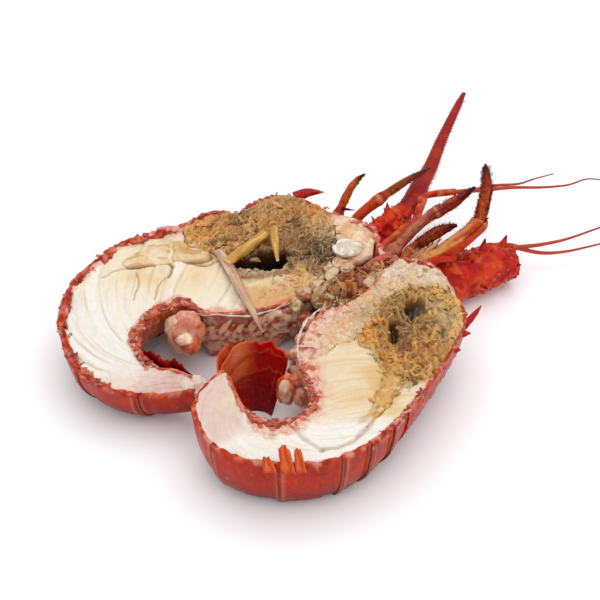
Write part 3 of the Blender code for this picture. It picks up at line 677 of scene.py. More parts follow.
def laid(under, over, amount):
    """What lies over another relief or colour, where amount is 1."""
    if under.ndim > amount.ndim:
        amount = amount[..., None]
    return under * (1 - amount) + over * amount


def streaks(s, w, seed):
    """Muscle fibres: noise long across the cut and short along the body."""
    w = w + 0.25 * noise(as3(s * 1.5, w * 2), 1.0, seed + 9)
    return (0.7 * noise(as3(s * 3.2, w * 1.6), 1.0, seed)
            + 0.42 * noise(as3(s * 9, w * 3.0), 1.0, seed + 3)
            + 0.16 * noise(as3(s * 22, w * 6), 1.0, seed + 7))


def shreds(a, b, turn, seed):
    """Torn fibres that run one way: noise drawn out along the turned direction."""
    x, y = turned(a, b, (0, 0), turn)
    return fbm(as3(x * 0.22, y), 1.6, 3, seed)


def creases(s, w, spacing, width, seed):
    """Lines between muscle blocks, broken here and there."""
    s = s + 0.12 * noise(as3(s * 2, w * 3), 1.0, seed)
    away = np.abs((s / spacing + 0.5) % 1 - 0.5) * spacing
    whole = smooth(noise(as3(s * 0.9, w * 3.0), 1.0, seed + 1), -0.25, 0.35)
    return bell(away, width) * whole


def crumble(ground, turn, seed):
    """The tomalley's relief, its folds, specks and shreds, and a number for each of its lumps."""
    grains, _, kind = cells(as3(ground.wa + 2.0 * ground.fine, ground.wb), 3.6, seed)
    specks = fbm(ground.p, 2.0, 2, seed + 10)
    fold = folds_of(ground.p, 6, seed + 4)
    shred = shreds(ground.wa, ground.wb, turn, seed + 6)
    lumps = (0.4 + 2.2 * ground.wide + 1.5 * ground.fine + 0.6 * (0.45 - grains)
             + 2.2 * fold + 1.1 * shred)
    lumps = lumps - 1.2 * smooth(3.0 - ground.rim, 0, 3)
    return lumps, fold, specks, shred, kind


def crumble_tinted(colours, fold, specks, shred, tones):
    """Colours of the tomalley: painted shade in its valleys, its specks, painted light on its crests, and
    its dark and light shreds.
    """
    valley_shade, speck, crest, dark, light = tones
    return tinted(colours,
                  # painted shade in the valleys of the folds
                  (valley_shade, 0.6 * smooth(0.45 - fold, 0, 0.35)),
                  (speck, 0.5 * smooth(specks, 0.4, 0.85)),
                  # painted light on the crests of the folds
                  (crest, 0.4 * smooth(fold, 0.62, 0.95)),
                  (dark, 0.55 * smooth(-shred, 0.12, 0.5)),
                  (light, 0.45 * smooth(shred, 0.12, 0.5)))


TOMALLEY_WARMTH = (1.3, 1.08, 0.62)
BRIGHTEST_TOMALLEY = 0.9
CAVITY_DEPTH = 13
HOLLOW_DEPTH = 6
LEFT_TOMALLEY = ((-57, 14), (-56, 4), (-54.5, -2.8), (-51, -6.2), (-44, -8.4), (-40, -10.4),
                 (-36, -13), (-32, -20), (-20, -21.5), (-8, -18), (0, -14), (4, -20), (8, -24),
                 (14, -17), (18, -6), (17, 6), (13, 15), (17, 22), (12, 32), (-20, 38), (-45, 30))
LEFT_HEAD = ((12, 32), (17, 22), (13, 15), (17, 6), (18, -6), (15, -15), (20, -26), (45, -20),
             (45, 16), (25, 32))
LEFT_CHEST = ((-38, -12), (-32, -20), (-20, -21.5), (-8, -18), (0, -14), (4, -20), (12, -30),
              (10, -60), (-20, -60), (-24, -44), (-30, -28))
LEFT_CAVITY = ((-31, -10), (-24, -12), (-18, -9.5), (-8, -9), (-3, -11), (-5, -15), (-9, -18),
               (-15, -20), (-23, -20.5), (-30, -19.5), (-32, -15))
LEFT_CRACKS = (  # round the back muscle
    (((-81, -17.5), (-74, -16.5), (-66, -15.5), (-62, -15.5), (-60.5, -18), (-61.5, -24)), 0.55, 1.6),
    (((-55, -15.5), (-49, -15.8), (-43, -16), (-38.5, -14)), 0.5, 1.6),
    (((-77, -20), (-75.5, -26), (-75.5, -32), (-77, -38)), 0.4, 0.6),
    (((-63, -24), (-66, -30), (-67, -37)), 0.4, 0.6),
    (((-81, -17.5), (-88, -20), (-93, -24)), 0.4, 0.5),
)
LEFT_TOMALLEY_SPOTS = (
    ((208, 152, 76), 0.95, (-47, 5), (9, 9)), (OCHRE, 0.85, (-34, 5), (8, 10)),
    (OLIVE, 0.9, (-37, -5), (8, 4), -20), ((190, 152, 130), 0.95, (-17, 23), (9, 8)),
    ((104, 76, 50), 0.85, (-27, 17), (5, 6)), ((200, 146, 68), 0.85, (-16, 8), (8, 7)),
    ((150, 92, 50), 0.8, (-1, 16), (2.5, 8)), (SALMON, 0.8, (8, 21), (7, 8)),
    ((224, 190, 152), 0.9, (12, 9), (8, 8)), ((84, 58, 22), 1.0, (9, -9), (11, 10)),
    ((150, 108, 50), 0.6, (2, -3), (4, 7)), ((160, 132, 92), 0.7, (13, -6), (3, 3.5)),
)
# tones for crumble_tinted: painted shade of the valleys, specks, painted light of the crests, dark shreds,
# light shreds
LEFT_CRUMBLE_TONES = ((92, 60, 24), (70, 45, 18), (226, 190, 126), (84, 54, 20), (224, 184, 112))


def left_tail(ground):
    """Relief and colours of the left half's tail meat."""
    a, b, u, w = ground.a, ground.b, ground.u, ground.w
    s = u - 3.0 * w
    fibre = streaks(s, w, 21)
    crease = creases(s, w, 0.72, 0.05, 25)
    swell_of_blocks = noise(as3(s * 1.4, w * 1.2), 1.0, 27)
    torn = 3.4 + 2.8 * smooth(u, 6.6, 8.0) * smooth(-u, -14.0, -12.5)
    colour = painted(
        ground.shape, WHITE_MEAT,
        (CREAM_MEAT, smooth(b + 0.25 * (a + 60), -62, -25)),
        (YELLOW_MEAT, 0.5 * smooth(b + 3 * ground.wide, -36, -14) * smooth(a, -100, -60)),
        (CREAM_MEAT, 0.7 * smooth(fibre, 0.0, 0.55)),
        ((232, 206, 172), 0.5 * smooth(-fibre, 0.22, 0.7)),
        ((255, 251, 244), 0.5 * smooth(swell_of_blocks, 0.1, 0.5)),
        (AMBER, 0.7 * spot(ground.wa, ground.wb, (-75, -24), (8, 4.5), -10)),
        (AMBER, 0.6 * spot(ground.wa, ground.wb, (-49, -25), (4, 6))),
        (AMBER, 0.35 * spot(ground.wa, ground.wb, (-62, -28), (10, 7))),
        (BEIGE_LINE, 0.45 * crease),
        (PINK_MEAT, 0.9 * smooth(u + 0.5 * ground.wide, 12.6, 15.0)),
        ((216, 176, 160), 0.8 * smooth(u + ground.fine, 13.6, 15.6)),
        ((236, 190, 170), 0.8 * patch(ground.wa, ground.wb, (-56, 4), (7, 3.5))),
        ((150, 110, 80), 0.7 * smooth(noise(ground.p, 2.2, 31), 0.35, 0.6)
         * spot(a, b, (-50, -86), (7, 4))),
        ((234, 168, 140), 0.85 * smooth(torn - ground.rim + 2.0 * ground.fine, 0, 3.0)))
    calm = 1 - 0.6 * smooth(u, 13.0, 14.5)
    height = (0.3 + 1.1 * ground.wide + 0.34 * fibre * calm - 0.6 * crease + 0.12 * ground.fine
              + 0.8 * swell_of_blocks - 1.0 * smooth(2.0 - ground.rim, 0, 2))
    return ground.cracks(height, colour, LEFT_CRACKS, (140, 95, 52), (0.35, 0.28))


def left_chest(ground):
    """Relief and colours of the left half's chest meat."""
    a, b, p, fine = ground.a, ground.b, ground.p, ground.fine
    _, _, kind = cells(as3(ground.wa, ground.wb), 3.4, 41)
    colour = painted(
        ground.shape, (232, 186, 124),
        ((242, 216, 176), smooth(b + 2 * ground.wide, -34, -27) * smooth(-a, 2, 8)),
        (PEACH, smooth(a + 3 * ground.wide, -18, -8) * smooth(kind, 0.2, 0.9)),
        ((236, 184, 130), smooth(-b + 2 * fine, 36, 42)),
        ((206, 140, 70), 0.8 * smooth(fine, 0.25, 0.7) * smooth(a, -16, -4)),
        ((248, 230, 200), 0.8 * patch(ground.wa, ground.wb, (-18, -26.5), (12, 2.8), 6)),
        ((226, 156, 100), 0.7 * smooth(noise(p, 5, 43), 0.1, 0.5) * smooth(a, -20, -6)),
        ((232, 168, 138), 0.7 * smooth(noise(p, 6, 44), 0.0, 0.5) * smooth(-b, 36, 40)),
        ((158, 108, 46), 0.95 * ground.line(((-31, -22.5), (-23, -24), (-14, -22.5), (-4, -19)), 2.6)),
        ((240, 122, 66), patch(ground.wa, ground.wb, (-7, -39), (5, 1.8), 8)))
    ledge = ground.line(((-30, -22), (-20, -24.5), (-12, -24)), 1.2)
    height = (0.2 + 0.7 * fine + 1.2 * (folds_of(p, 4.5, 45) - 0.4) * smooth(a, -28, -10)
              - 0.5 * ledge)
    return height, colour * (0.94, 0.86, 0.68)


def left_tomalley(ground):
    """Relief and colours of the left half's tomalley, round its deep cavity."""
    a, b = ground.a, ground.b
    lumps, fold, specks, shred, kind = crumble(ground, 40, 51)
    colour = painted(ground.shape, BEIGE, (OCHRE, smooth(kind, 0.3, 0.9) * 0.5))
    colour = ground.patches(colour, LEFT_TOMALLEY_SPOTS)
    colour = crumble_tinted(colour, fold, specks, shred, LEFT_CRUMBLE_TONES)
    sunk = ground.within(LEFT_CAVITY, -0.8, 1.8)
    colour = tinted(
        colour,
        # painted shade: darker brown just round the cavity's edge
        ((96, 62, 24), ground.within(LEFT_CAVITY, -2.5, 0.5)),
        ((168, 126, 62), ground.line(((-31, -21), (-23, -23.2), (-14, -22)), 3.0)),
        # painted shade: near-black inside the cavity, brown rather than black toward its rear end
        (CAVITY_SHADE, sunk),
        ((92, 60, 22), 0.8 * sunk * smooth(-a, 21, 27)))
    toward_head = smooth(a + 4 * ground.wide, -32, -4)[..., None]
    over_cavity = (smooth(8 - b + 3 * ground.wide, 0, 7) * smooth(a, -30, -20))[..., None]
    shade = (1 - toward_head * (0.24, 0.27, 0.40)) * (1 - over_cavity * (0.34, 0.38, 0.42))
    colour = np.clip(colour * TOMALLEY_WARMTH * shade, 0, BRIGHTEST_TOMALLEY)
    colour = ground.patches(colour, (((204, 168, 122), 0.75, (13, 4), (6, 6)),
                                     ((180, 146, 98), 0.4, (4, 6), (5, 5))))
    return lumps - CAVITY_DEPTH * sunk, colour


def left_head(ground):
    """Relief and colours of the left half's head meat."""
    p = ground.p
    folds = noise(as3(ground.wa, ground.wb), 5, 71)
    colour = painted(
        ground.shape, (234, 192, 146),
        ((243, 214, 178), smooth(folds, -0.2, 0.4)),
        ((205, 140, 96), 0.7 * smooth(0.10 - np.abs(noise(p, 4.5, 73)), 0, 0.1)),
        (SALMON, 0.7 * patch(ground.wa, ground.wb, (18, 20), (7, 7))),
        ((206, 100, 84), 0.85 * smooth(3.2 - ground.rim + ground.fine, 0, 2.5)),
        ((224, 200, 178), 0.8 * patch(ground.wa, ground.wb, (34, -12), (6, 4))),
        ((214, 152, 92), 0.6 * smooth(noise(p, 6, 74), 0.05, 0.4)))
    height = 1.2 + 1.6 * folds + 0.3 * ground.fine - 0.8 * smooth(1.6 - ground.rim, 0, 1.6)
    return height, colour


def paint_left(a, b, u, w):
    """Relief and colours of the left cut face."""
    ground = Ground(a, b, u, w, 1.6, 0)
    tomalley = ground.within(LEFT_TOMALLEY, -0.8, 0.8)
    chest = ground.within(LEFT_CHEST, -2.5, 2.0) * (1 - tomalley)
    height, colour = left_tail(ground)
    for region, amount in (
        (left_chest, chest), (left_tomalley, tomalley), (left_head, ground.within(LEFT_HEAD, -1, 1)),
    ):
        its_height, its_colour = region(ground)
        height, colour = laid(height, its_height, amount), laid(colour, its_colour, amount)
    return height, colour


RIGHT_TOMALLEY = ((45, -38), (56, -34), (66, -38), (76, -44), (78, -70), (66, -86), (56, -92),
                  (46, -98), (40, -95.5), (36, -90), (33.5, -82), (31, -76), (26, -73), (25, -68), (30, -60),
                  (36, -52), (38, -44))
RIGHT_HEAD = ((40, -10), (70, -10), (76, -36), (68, -38), (62, -37), (52, -35), (44, -38),
              (38, -42), (34, -34))
RIGHT_CHEST = ((34, -34), (38, -42), (38, -46), (36, -52), (30, -60), (24, -69), (16, -72), (10, -78),
               (0, -86), (-10, -80), (-6, -55), (12, -38), (28, -30))
RIGHT_BELLY_EDGE = ((27, -40), (20, -46), (10, -50), (5, -57), (1, -68), (-1, -80), (2, -92),
                    (4, -101), (1, -110), (-5, -115), (-13, -117))
RIGHT_HOLLOWS = (
    ((49, -44), (56, -42), (58, -47), (54, -54), (49, -54), (46, -49)),
    ((41, -57), (44, -58), (43.5, -66), (42, -73), (39.5, -72), (40, -64)),
)
RIGHT_CRACKS = (
    (((38, -106), (33, -113), (28, -120), (22, -127), (15, -131.5), (9, -132.5)), 0.9, 1.0),
    (((9, -132.5), (4, -129), (0, -124), (-2, -121)), 0.9, 0.7),
)
RIGHT_TOMALLEY_SPOTS = (
    ((164, 114, 44), 0.95, (51, -74), (11, 12)), ((204, 144, 62), 0.95, (33, -64), (9, 12), -20),
    ((214, 162, 86), 0.8, (29, -70), (4, 3)), ((210, 182, 156), 0.95, (68, -57), (9, 13)),
    ((218, 184, 136), 0.9, (67, -42), (10, 7)), ((150, 112, 60), 0.8, (46, -45), (8, 5)),
    ((188, 152, 108), 0.7, (45, -55), (4, 3.5)), ((196, 142, 60), 0.85, (38, -86), (8, 7)),
)
# tones for crumble_tinted: painted shade of the valleys, specks, painted light of the crests, dark shreds,
# light shreds
RIGHT_CRUMBLE_TONES = ((100, 68, 28), (86, 58, 24), (222, 186, 128), (84, 58, 24), (226, 194, 134))


def right_tail(ground):
    """Relief and colours of the right half's tail meat."""
    u, w = ground.u, ground.w
    s = u - 3.9 * w
    fibre = streaks(s, w, 121)
    crease = creases(s, w, 0.6, 0.04, 125)
    upper = smooth(ground.b, -122, -108)
    colour = painted(
        ground.shape, WHITE_MEAT,
        ((243, 227, 198), 0.8 * upper),
        ((236, 206, 152), 0.5 * upper),
        ((234, 196, 128), upper * smooth(fibre, -0.15, 0.5) * 0.85),
        (WHITE_MEAT, upper * smooth(-fibre, 0.2, 0.6) * 0.6),
        ((222, 170, 90), 0.55 * upper * smooth(fibre, 0.3, 0.7)
         * smooth(ground.a + 4 * ground.wide, 14, 28)),
        ((232, 180, 96), 0.75 * patch(ground.wa, ground.wb, (35, -100), (5, 14), 20)),
        ((205, 160, 110), 0.7 * patch(ground.wa, ground.wb, (26, -115.5), (3.5, 2.2), 50)),
        (BEIGE_LINE, 0.5 * crease * (0.2 + 0.8 * upper)),
        ((231, 199, 186), smooth(u, 11.5, 13.5) * smooth(ground.wide, -0.5, 0.3)),
        ((226, 202, 190), 0.6 * smooth(u, 12.0, 14.5) * smooth(ground.fine, -0.3, 0.5)),
        ((240, 222, 200), 0.6 * smooth(fibre, 0.1, 0.5) * (1 - upper)),
        ((238, 200, 180), 0.7 * smooth(2.4 - ground.rim + ground.fine, 0, 2.2)))
    calm = 1 - 0.8 * smooth(u, 11.5, 13.0)
    height = (0.4 + 1.1 * ground.wide + (0.25 + 0.5 * upper) * fibre * calm - 0.5 * crease * calm
              + 0.5 * noise(as3(s * 1.4, w * 1.2), 1.0, 127)
              + 0.1 * ground.fine - 0.9 * smooth(2.0 - ground.rim, 0, 2))
    return ground.cracks(height, colour, RIGHT_CRACKS, (176, 128, 86), (0.25, 0.25))


def right_chest(ground):
    """Relief and colours of the right half's chest meat."""
    p, fine = ground.p, ground.fine
    crumbs, border, kind = cells(as3(ground.wa, ground.wb), 3.2, 141)
    colour = painted(
        ground.shape, (230, 190, 142),
        ((234, 178, 124), smooth(kind, 0.3, 0.9) * 0.7),
        ((244, 218, 184), 0.7 * smooth(noise(p, 5, 183), 0.05, 0.4)),
        # painted shade in the low seams between the crumbs
        ((170, 112, 66), 0.7 * smooth(0.12 - (border - crumbs), 0, 0.12)),
        ((190, 140, 84), 0.6 * smooth(fine, 0.2, 0.7)),
        ((198, 160, 104), 0.7 * patch(ground.wa, ground.wb, (28, -52), (9, 7))),
        ((238, 206, 174), 0.8 * patch(ground.wa, ground.wb, (4, -70), (6, 22), -14)),
        ((222, 122, 86), 0.75 * patch(ground.wa, ground.wb, (13, -49), (2, 7), -35)
         * smooth(fine, -0.6, 0.2)))
    height = 0.3 + 0.8 * fine + 0.9 * folds_of(p, 4.0, 145) + 0.8 * (0.45 - crumbs)
    return height, colour


def belly_band(ground, height, colour):
    """The relief and colours with the band of red and cream skin along the right belly."""
    away, share = line_distance(ground.wa, ground.wb, RIGHT_BELLY_EDGE)
    band = smooth(away + 2.5 * ground.fine, 10.5, 7.0) * smooth(share, 0.0, 0.15)
    curls_in_it = folds_of(ground.p, 3.4, 182)
    red = smooth(noise(ground.p, 4, 181) + 0.3 * share, 0.02, 0.3) * smooth(away, 8.5, 5.0)
    colour = tinted(
        colour,
        ((238, 190, 160), 0.9 * band),
        ((208, 84, 50), 0.95 * band * red),
        ((246, 214, 190), 0.6 * band * smooth(curls_in_it, 0.6, 0.9)))
    return height + band * (1.1 * (curls_in_it - 0.4) - 0.4), colour


def right_tomalley(ground):
    """Relief and colours of the right half's tomalley, with its two hollows."""
    lumps, fold, specks, shred, _ = crumble(ground, 110, 151)
    colour = painted(ground.shape, (170, 134, 88))
    colour = ground.patches(colour, RIGHT_TOMALLEY_SPOTS)
    colour = crumble_tinted(colour, fold, specks, shred, RIGHT_CRUMBLE_TONES)
    dip = np.max([ground.within(outline, -1.2, 1.4) for outline in RIGHT_HOLLOWS], axis=0)
    colour = tinted(
        colour,
        ((60, 42, 24), 0.8 * ground.line(((61, -60), (64, -65), (63, -71)), 0.9)),
        # painted shade: the two hollows are painted dark brown
        ((46, 36, 20), dip))
    middle = patch(ground.a, ground.b, (45, -60), (13, 16))[..., None]
    shade = (1 - middle * (0.38, 0.40, 0.50)) * (0.98, 0.95, 0.74)
    colour = np.clip(colour * TOMALLEY_WARMTH * shade, 0, BRIGHTEST_TOMALLEY)
    colour = ground.patches(colour, (((186, 156, 112), 0.6, (60, -47), (7, 5)),
                                     ((188, 160, 120), 0.6, (65, -57), (5, 7)),
                                     ((206, 146, 66), 0.7, (37, -90), (6, 6))))
    return lumps - HOLLOW_DEPTH * dip, colour


def right_head(ground):
    """Relief and colours of the right half's head meat."""
    p, fine = ground.p, ground.fine
    lumps, border, kind = cells(as3(ground.wa, ground.wb), 4.2, 171)
    colour = painted(
        ground.shape, (232, 204, 172),
        ((242, 222, 196), smooth(kind, 0.4, 1.0)),
        ((232, 176, 150), 0.7 * smooth(noise(p, 4, 173), 0.1, 0.45)),
        ((236, 200, 150), 0.7 * smooth(noise(p, 6, 176), 0.0, 0.4)),
        # painted shade in the low seams between the lumps
        ((190, 136, 96), 0.65 * smooth(0.12 - (border - lumps), 0, 0.12)),
        ((226, 182, 128), smooth(-ground.b + 2 * fine, 30, 36) * 0.8),
        ((214, 112, 92), 0.85 * smooth(2.8 - ground.rim + fine, 0, 2.0)))
    height = (0.6 + 0.7 * fine + 1.5 * (0.45 - lumps) + 1.9 * folds_of(p, 4.5, 175)
              - 0.8 * smooth(1.6 - ground.rim, 0, 1.6))
    return height, colour


def paint_right(a, b, u, w):
    """Relief and colours of the right cut face."""
    ground = Ground(a, b, u, w, 1.5, 100)
    height, colour = right_tail(ground)
    its_height, its_colour = right_chest(ground)
    chest = ground.within(RIGHT_CHEST, -2.0, 2.0)
    height, colour = laid(height, its_height, chest), laid(colour, its_colour, chest)
    height, colour = belly_band(ground, height, colour)
    for region, amount in (
        (right_tomalley, ground.within(RIGHT_TOMALLEY, -0.8, 0.8)),
        (right_head, ground.within(RIGHT_HEAD, -1, 1)),
    ):
        its_height, its_colour = region(ground)
        height, colour = laid(height, its_height, amount), laid(colour, its_colour, amount)
    return height, colour


def contents(side, half, columns, paint, tomalley_outline, head_outline, chest_outline, seed):
    """The cut face of one half, with each of its contents in a piece of its own."""
    face = Face(half, columns, paint)
    a = face.a + noise(as3(face.a, face.b), 6, seed)
    b = face.b + noise(as3(face.a, face.b), 6, seed + 1)
    tomalley = depth_inside(a, b, tomalley_outline) > 0
    head = (depth_inside(a, b, head_outline) > 0) & ~tomalley
    chest = (depth_inside(a, b, chest_outline) > 0) & ~tomalley & ~head
    tail = ~(tomalley | head | chest)
    for name, node, keep, surface, slot in (
        ("_tomalley_crumble", "_tomalley", tomalley, TOMALLEY, "tomalley"),
        ("_head_flesh", "_head_meat", head, CREAM, "meat_cream"),
        ("_chest_flesh", "_chest_meat", chest, CREAM, "meat_cream"),
        ("_tail_flesh", "_tail_meat", tail, MEAT, "meat_white"),
    ):
        face.piece(side + name, keep, surface, (side + node,), slot)
    return face


def cut_faces():
    """The contents of both halves, each part in its own piece."""
    left = contents("left", LEFT, 112, paint_left, LEFT_TOMALLEY, LEFT_HEAD, LEFT_CHEST, 201)
    right = contents("right", RIGHT, 96, paint_right, RIGHT_TOMALLEY, RIGHT_HEAD, RIGHT_CHEST, 211)
    return left, right


# ---------------------------------------------------------------- shells

PLATE_END = 0.74
PLATE_GAP = 0.035
CORE_INSET = 1.7
CORE_UNDER_MEAT = 4.8
CORE_UNDER_HOLLOWS = 19.5
RIM_COLUMNS = 6          # points across the cut rim of a wall
INNER_COLUMNS = 8        # and down its inside
OUTSIDE, ON_RIM, INSIDE = 0, 1, 2    # zones of a wall


def wall_counts(half, span, t_far, t_rim, step):
    """Rows and outer columns of a wall whose quads are about one step long."""
    stations = np.linspace(*span, 300)
    middle, rim = half.flank(stations, 0.5 * (t_far + t_rim)), half.flank(stations, float(t_rim))
    across = half.flank(np.mean(span), np.linspace(t_far, t_rim, 60))
    lengths = [np.linalg.norm(np.diff(c, axis=0), axis=1).sum() for c in (middle, rim, across)]
    return max(6, int(max(lengths[:2]) / step)), max(8, int(lengths[2] / (step * 1.3)))


def wall(name, half, span, t_far, t_rim, thick, paint, surface, nodes,
         flare=0.0, relief=None, rim_rise=0.6, seed=0, step=0.75):
    """A piece of shell from t_far to its cut rim at t_rim, which is 0 or 1.

    thick(p, u) is the extra thickness of the rim and paint(p, u, t, zone) its colours.
    """
    rows, columns = wall_counts(half, span, t_far, t_rim, step)
    u = np.linspace(*span, rows)[:, None]
    f = (u - span[0]) / (span[1] - span[0])
    out = -flare * f ** 2
    t = np.linspace(t_far, t_rim, columns)[None, :]
    raw = half.flank(u, t, out + 0 * t)
    lift = relief(raw, u, f) if relief else 0.0
    outer = half.flank(u, t, out - lift)
    row = blended(half.stations, u[:, 0])
    near, far = (row[:, :2], row[:, 2:4]) if t_rim == 0 else (row[:, 2:4], row[:, :2])
    ahead = (far - near) / np.linalg.norm(far - near, axis=1)[:, None]
    rim_points = half.place(near[:, 0], near[:, 1], 0.0)
    width = SHELL + thick(rim_points, u[:, 0])
    share = np.linspace(0, 1, RIM_COLUMNS + 1)[None, 1:]
    inset = out + (width[:, None] - out) * share
    ab = near[:, None] + ahead[:, None] * inset[..., None]
    ragged = fbm(as3(ab[..., 0], ab[..., 1]), 5.0, 3, seed + 1, 0.4)
    bulge = np.minimum(1, 4 * share * (1.2 - share))
    rim = half.place(ab[..., 0], ab[..., 1],
                     rim_rise * (0.5 + ragged) * bulge - 0.25 * (share == 1))
    deep = np.linspace(t_rim, t_far, INNER_COLUMNS)[None, :]
    deep = t_rim + (deep - t_rim) * np.abs(deep - t_rim) / abs(t_far - t_rim)
    thickness = SHELL + (width[:, None] - SHELL) * np.exp(-np.abs(deep - t_rim) / 0.08)
    inner = half.flank(u, deep, thickness)
    inner[:, 0] = half.place(ab[:, -1, 0], ab[:, -1, 1], -2.5)
    points = np.concatenate((outer, rim, inner), axis=1)
    zone = np.repeat((OUTSIDE, ON_RIM, INSIDE), (columns, RIM_COLUMNS, INNER_COLUMNS))
    t_all = np.concatenate((t[0], np.full(RIM_COLUMNS, float(t_rim)), deep[0]))
    size = points.shape[:2]
    tints = paint(points, *(np.broadcast_to(v, size) for v in (u, t_all, zone)))
    points[..., 2] = np.maximum(points[..., 2], 0.0)
    build(name, points, capped_tube_faces(*size), tints, surface, nodes)


def shell_colours(ends, pale_rim):
    """Colours of the back: mottled red, painted shade toward the floor, pale seams, a chipped rim."""
    def paint(p, u, t, zone):
        mottle, fine = fbm(p, 9, 3, 301), fbm(p, 2.2, 2, 302)
        low = p[..., 2] / 34
        c = painted(
            p.shape, SHELL_TINT,
            (BRIGHT_RED, 0.7 * smooth(mottle, -0.1, 0.5)),
            ((166, 40, 26), 0.6 * smooth(-mottle, 0.0, 0.5)),
            ((212, 92, 50), 0.4 * smooth(fine, 0.2, 0.7)),
            # painted shade: the wall darkens toward the floor
            ((120, 24, 10), 0.85 * smooth(0.55 - low, 0, 0.5)))
        for place in ends[1:-1]:
            c = tinted(
                c,
                ((228, 140, 108), 0.6 * bell(np.abs(u - place) - 0.08, 0.028)),
                ((110, 16, 12), 0.7 * bell(u - place - 0.015, 0.05)))
        dots, _, _ = cells(p, 4.0, 305)
        c = tinted(c, ((240, 205, 190), 0.9 * smooth(0.1 - dots, 0, 0.05)))
        rim = (zone == ON_RIM) | ((zone == OUTSIDE) & (t < 0.012))
        chips = fbm(p, 3.6, 2, 306)
        r = painted(
            p.shape, (194, 62, 38),
            (DEEP_RED, 0.7 * smooth(chips, 0.15, 0.55)),
            ((222, 108, 68), smooth(-chips, 0.15, 0.5)),
            (PALE_PINK, pale_rim * smooth(fbm(p, 4, 2, 307), 0.0, 0.45)))
        c = np.where(rim[..., None], r, c)
        return np.where((zone == INSIDE)[..., None], rgb((196, 90, 66)), c)
    return paint


def plate_relief(p, u, f):
    """Fine pits, a low cross ridge and a lip."""
    return (0.18 * fbm(p, 6, 2, 311) + 0.1 * fbm(p, 1.8, 2, 312)
            + 0.35 * bell(f - 0.93, 0.05) - 0.5 * bell(f - 0.18, 0.07))


def head_relief(p, u, f):
    """Fine pits and low knobs."""
    dots, _, _ = cells(p, 3.4, 313)
    return (0.18 * fbm(p, 6, 2, 311) + 0.1 * fbm(p, 1.8, 2, 312)
            + 0.45 * smooth(0.42 - dots, 0, 0.35))


def ragged_rim(stations, widths, even, rough, size, seed, least=-0.2):
    """The extra thickness of a rim along the body, with a torn edge."""
    def thick(p, u):
        broad = np.interp(u, stations, widths)
        return np.maximum(broad * (even + rough * fbm(p, size, 3, seed)), least)
    return thick


BACK_RIMS = {  # the left rim is broad and crumbly where the cutter tore the shell
    "left": ragged_rim((0, 6.6, 7.2, 9, 11, 12.5, 14, 16), (0.0, 0.4, 3.0, 3.7, 3.6, 2.2, 1.2, 1.0),
                       0.8, 0.9, 7, 321),
    "right": ragged_rim((0, 6, 8, 10, 16), (0.2, 0.6, 1.2, 0.7, 0.6), 0.7, 1.1, 5, 331, -0.3),
}
BELLY_RIMS = {
    "left": ragged_rim((1, 6.5, 7.5, 9, 12, 13.5, 16), (0.3, 0.5, 3.0, 3.6, 3.4, 1.2, 0.4),
                       0.8, 1, 5, 421),
    "right": ragged_rim((1, 3, 7, 8, 12, 13.5, 16), (0.3, 0.8, 1.0, 2.4, 2.6, 1.2, 0.5),
                        0.8, 1, 5, 431),
}
BACK_LOOKS = {"left": (0.35, 2.2), "right": (0.6, 1.1)}    # how pale and how high the rim is


def backs():
    """Both carapaces and the fourteen tail plates, each with its knobs or ridges."""
    for side, half, ends in (("left", LEFT, LEFT_PLATES), ("right", RIGHT, RIGHT_PLATES)):
        pale, rise = BACK_LOOKS[side]
        thick, paint = BACK_RIMS[side], shell_colours(ends, pale)
        wall(side + "_head_shell", half, (0.0, CARAPACE_REAR + 0.08), 0.68, 0, thick, paint,
             RED, (side + "_carapace",), 0.4, head_relief, 0.5, 340)
        for k, (first, last) in enumerate(zip(ends, ends[1:]), 1):
            node = f"{side}_tail_plate_{k}" if k < 7 else side + "_tail_end_plate"
            name = f"{side}_back_plate_{k}" if k < 7 else side + "_last_plate"
            span = first - 0.02, min(last + 0.07, TAIL_END - 0.02)
            wall(name, half, span, PLATE_END, 0, thick, paint, RED, (node,),
                 FLARE, plate_relief, rise, 350 + k)


def left_skin(p, u, wide, fine):
    """Peach skin of the left belly, red on the tail."""
    tail = smooth(u, 7.0, 8.0)
    return painted(
        p.shape, (196, 110, 84),
        ((214, 168, 134), smooth(wide, 0, 0.4)),
        ((160, 46, 30), smooth(-fine, 0.1, 0.5) * 0.9),
        ((204, 82, 40), 0.85 * tail),
        ((238, 158, 112), tail * smooth(fine, 0.1, 0.5)))


def right_skin(p, u, wide, fine):
    """Pale skin of the right belly with red patches."""
    tail = smooth(u, 8.0, 9.5)
    return painted(
        p.shape, (216, 150, 118),
        ((238, 192, 160), smooth(wide, -0.1, 0.4)),
        ((186, 66, 42), smooth(-wide, 0.15, 0.45) * 0.9),
        ((196, 76, 50), 0.8 * tail * smooth(fine, -0.6, 0.2)),
        ((232, 160, 130), tail * smooth(fine, 0.25, 0.5)))


def skin_colours(skin):
    """Colours of the belly: its skin, and a torn rim."""
    def paint(p, u, t, zone):
        wide, fine = fbm(p, 7, 3, 401), fbm(p, 2.2, 2, 402)
        r = painted(
            p.shape, (214, 100, 54),
            ((190, 54, 24), smooth(fine, -0.05, 0.35)),
            ((238, 182, 150), smooth(-fine, 0.12, 0.5) * (1 - 0.5 * smooth(u, 7, 9))))
        return np.where((zone == ON_RIM)[..., None], r, skin(p, u, wide, fine))
    return paint


def skin_relief(p, u, f):
    return 0.5 * fbm(p, 5, 3, 411) + 0.25 * fbm(p, 1.8, 2, 412)


def bellies():
    """The skin of each belly with its torn rim."""
    for side, half, skin in (("left", LEFT, left_skin), ("right", RIGHT, right_skin)):
        thick, paint = BELLY_RIMS[side], skin_colours(skin)
        wall(side + "_chest_hide", half, (1.2, CARAPACE_REAR - PLATE_GAP), 0.7, 1, thick, paint,
             SKIN, (side + "_chest_skin",), relief=skin_relief, rim_rise=0.9, seed=440)
        wall(side + "_tail_hide", half, (CARAPACE_REAR + PLATE_GAP, 15.6), 0.76, 1, thick, paint,
             SKIN, (side + "_tail_skin",), relief=skin_relief, rim_rise=1.3, seed=450)


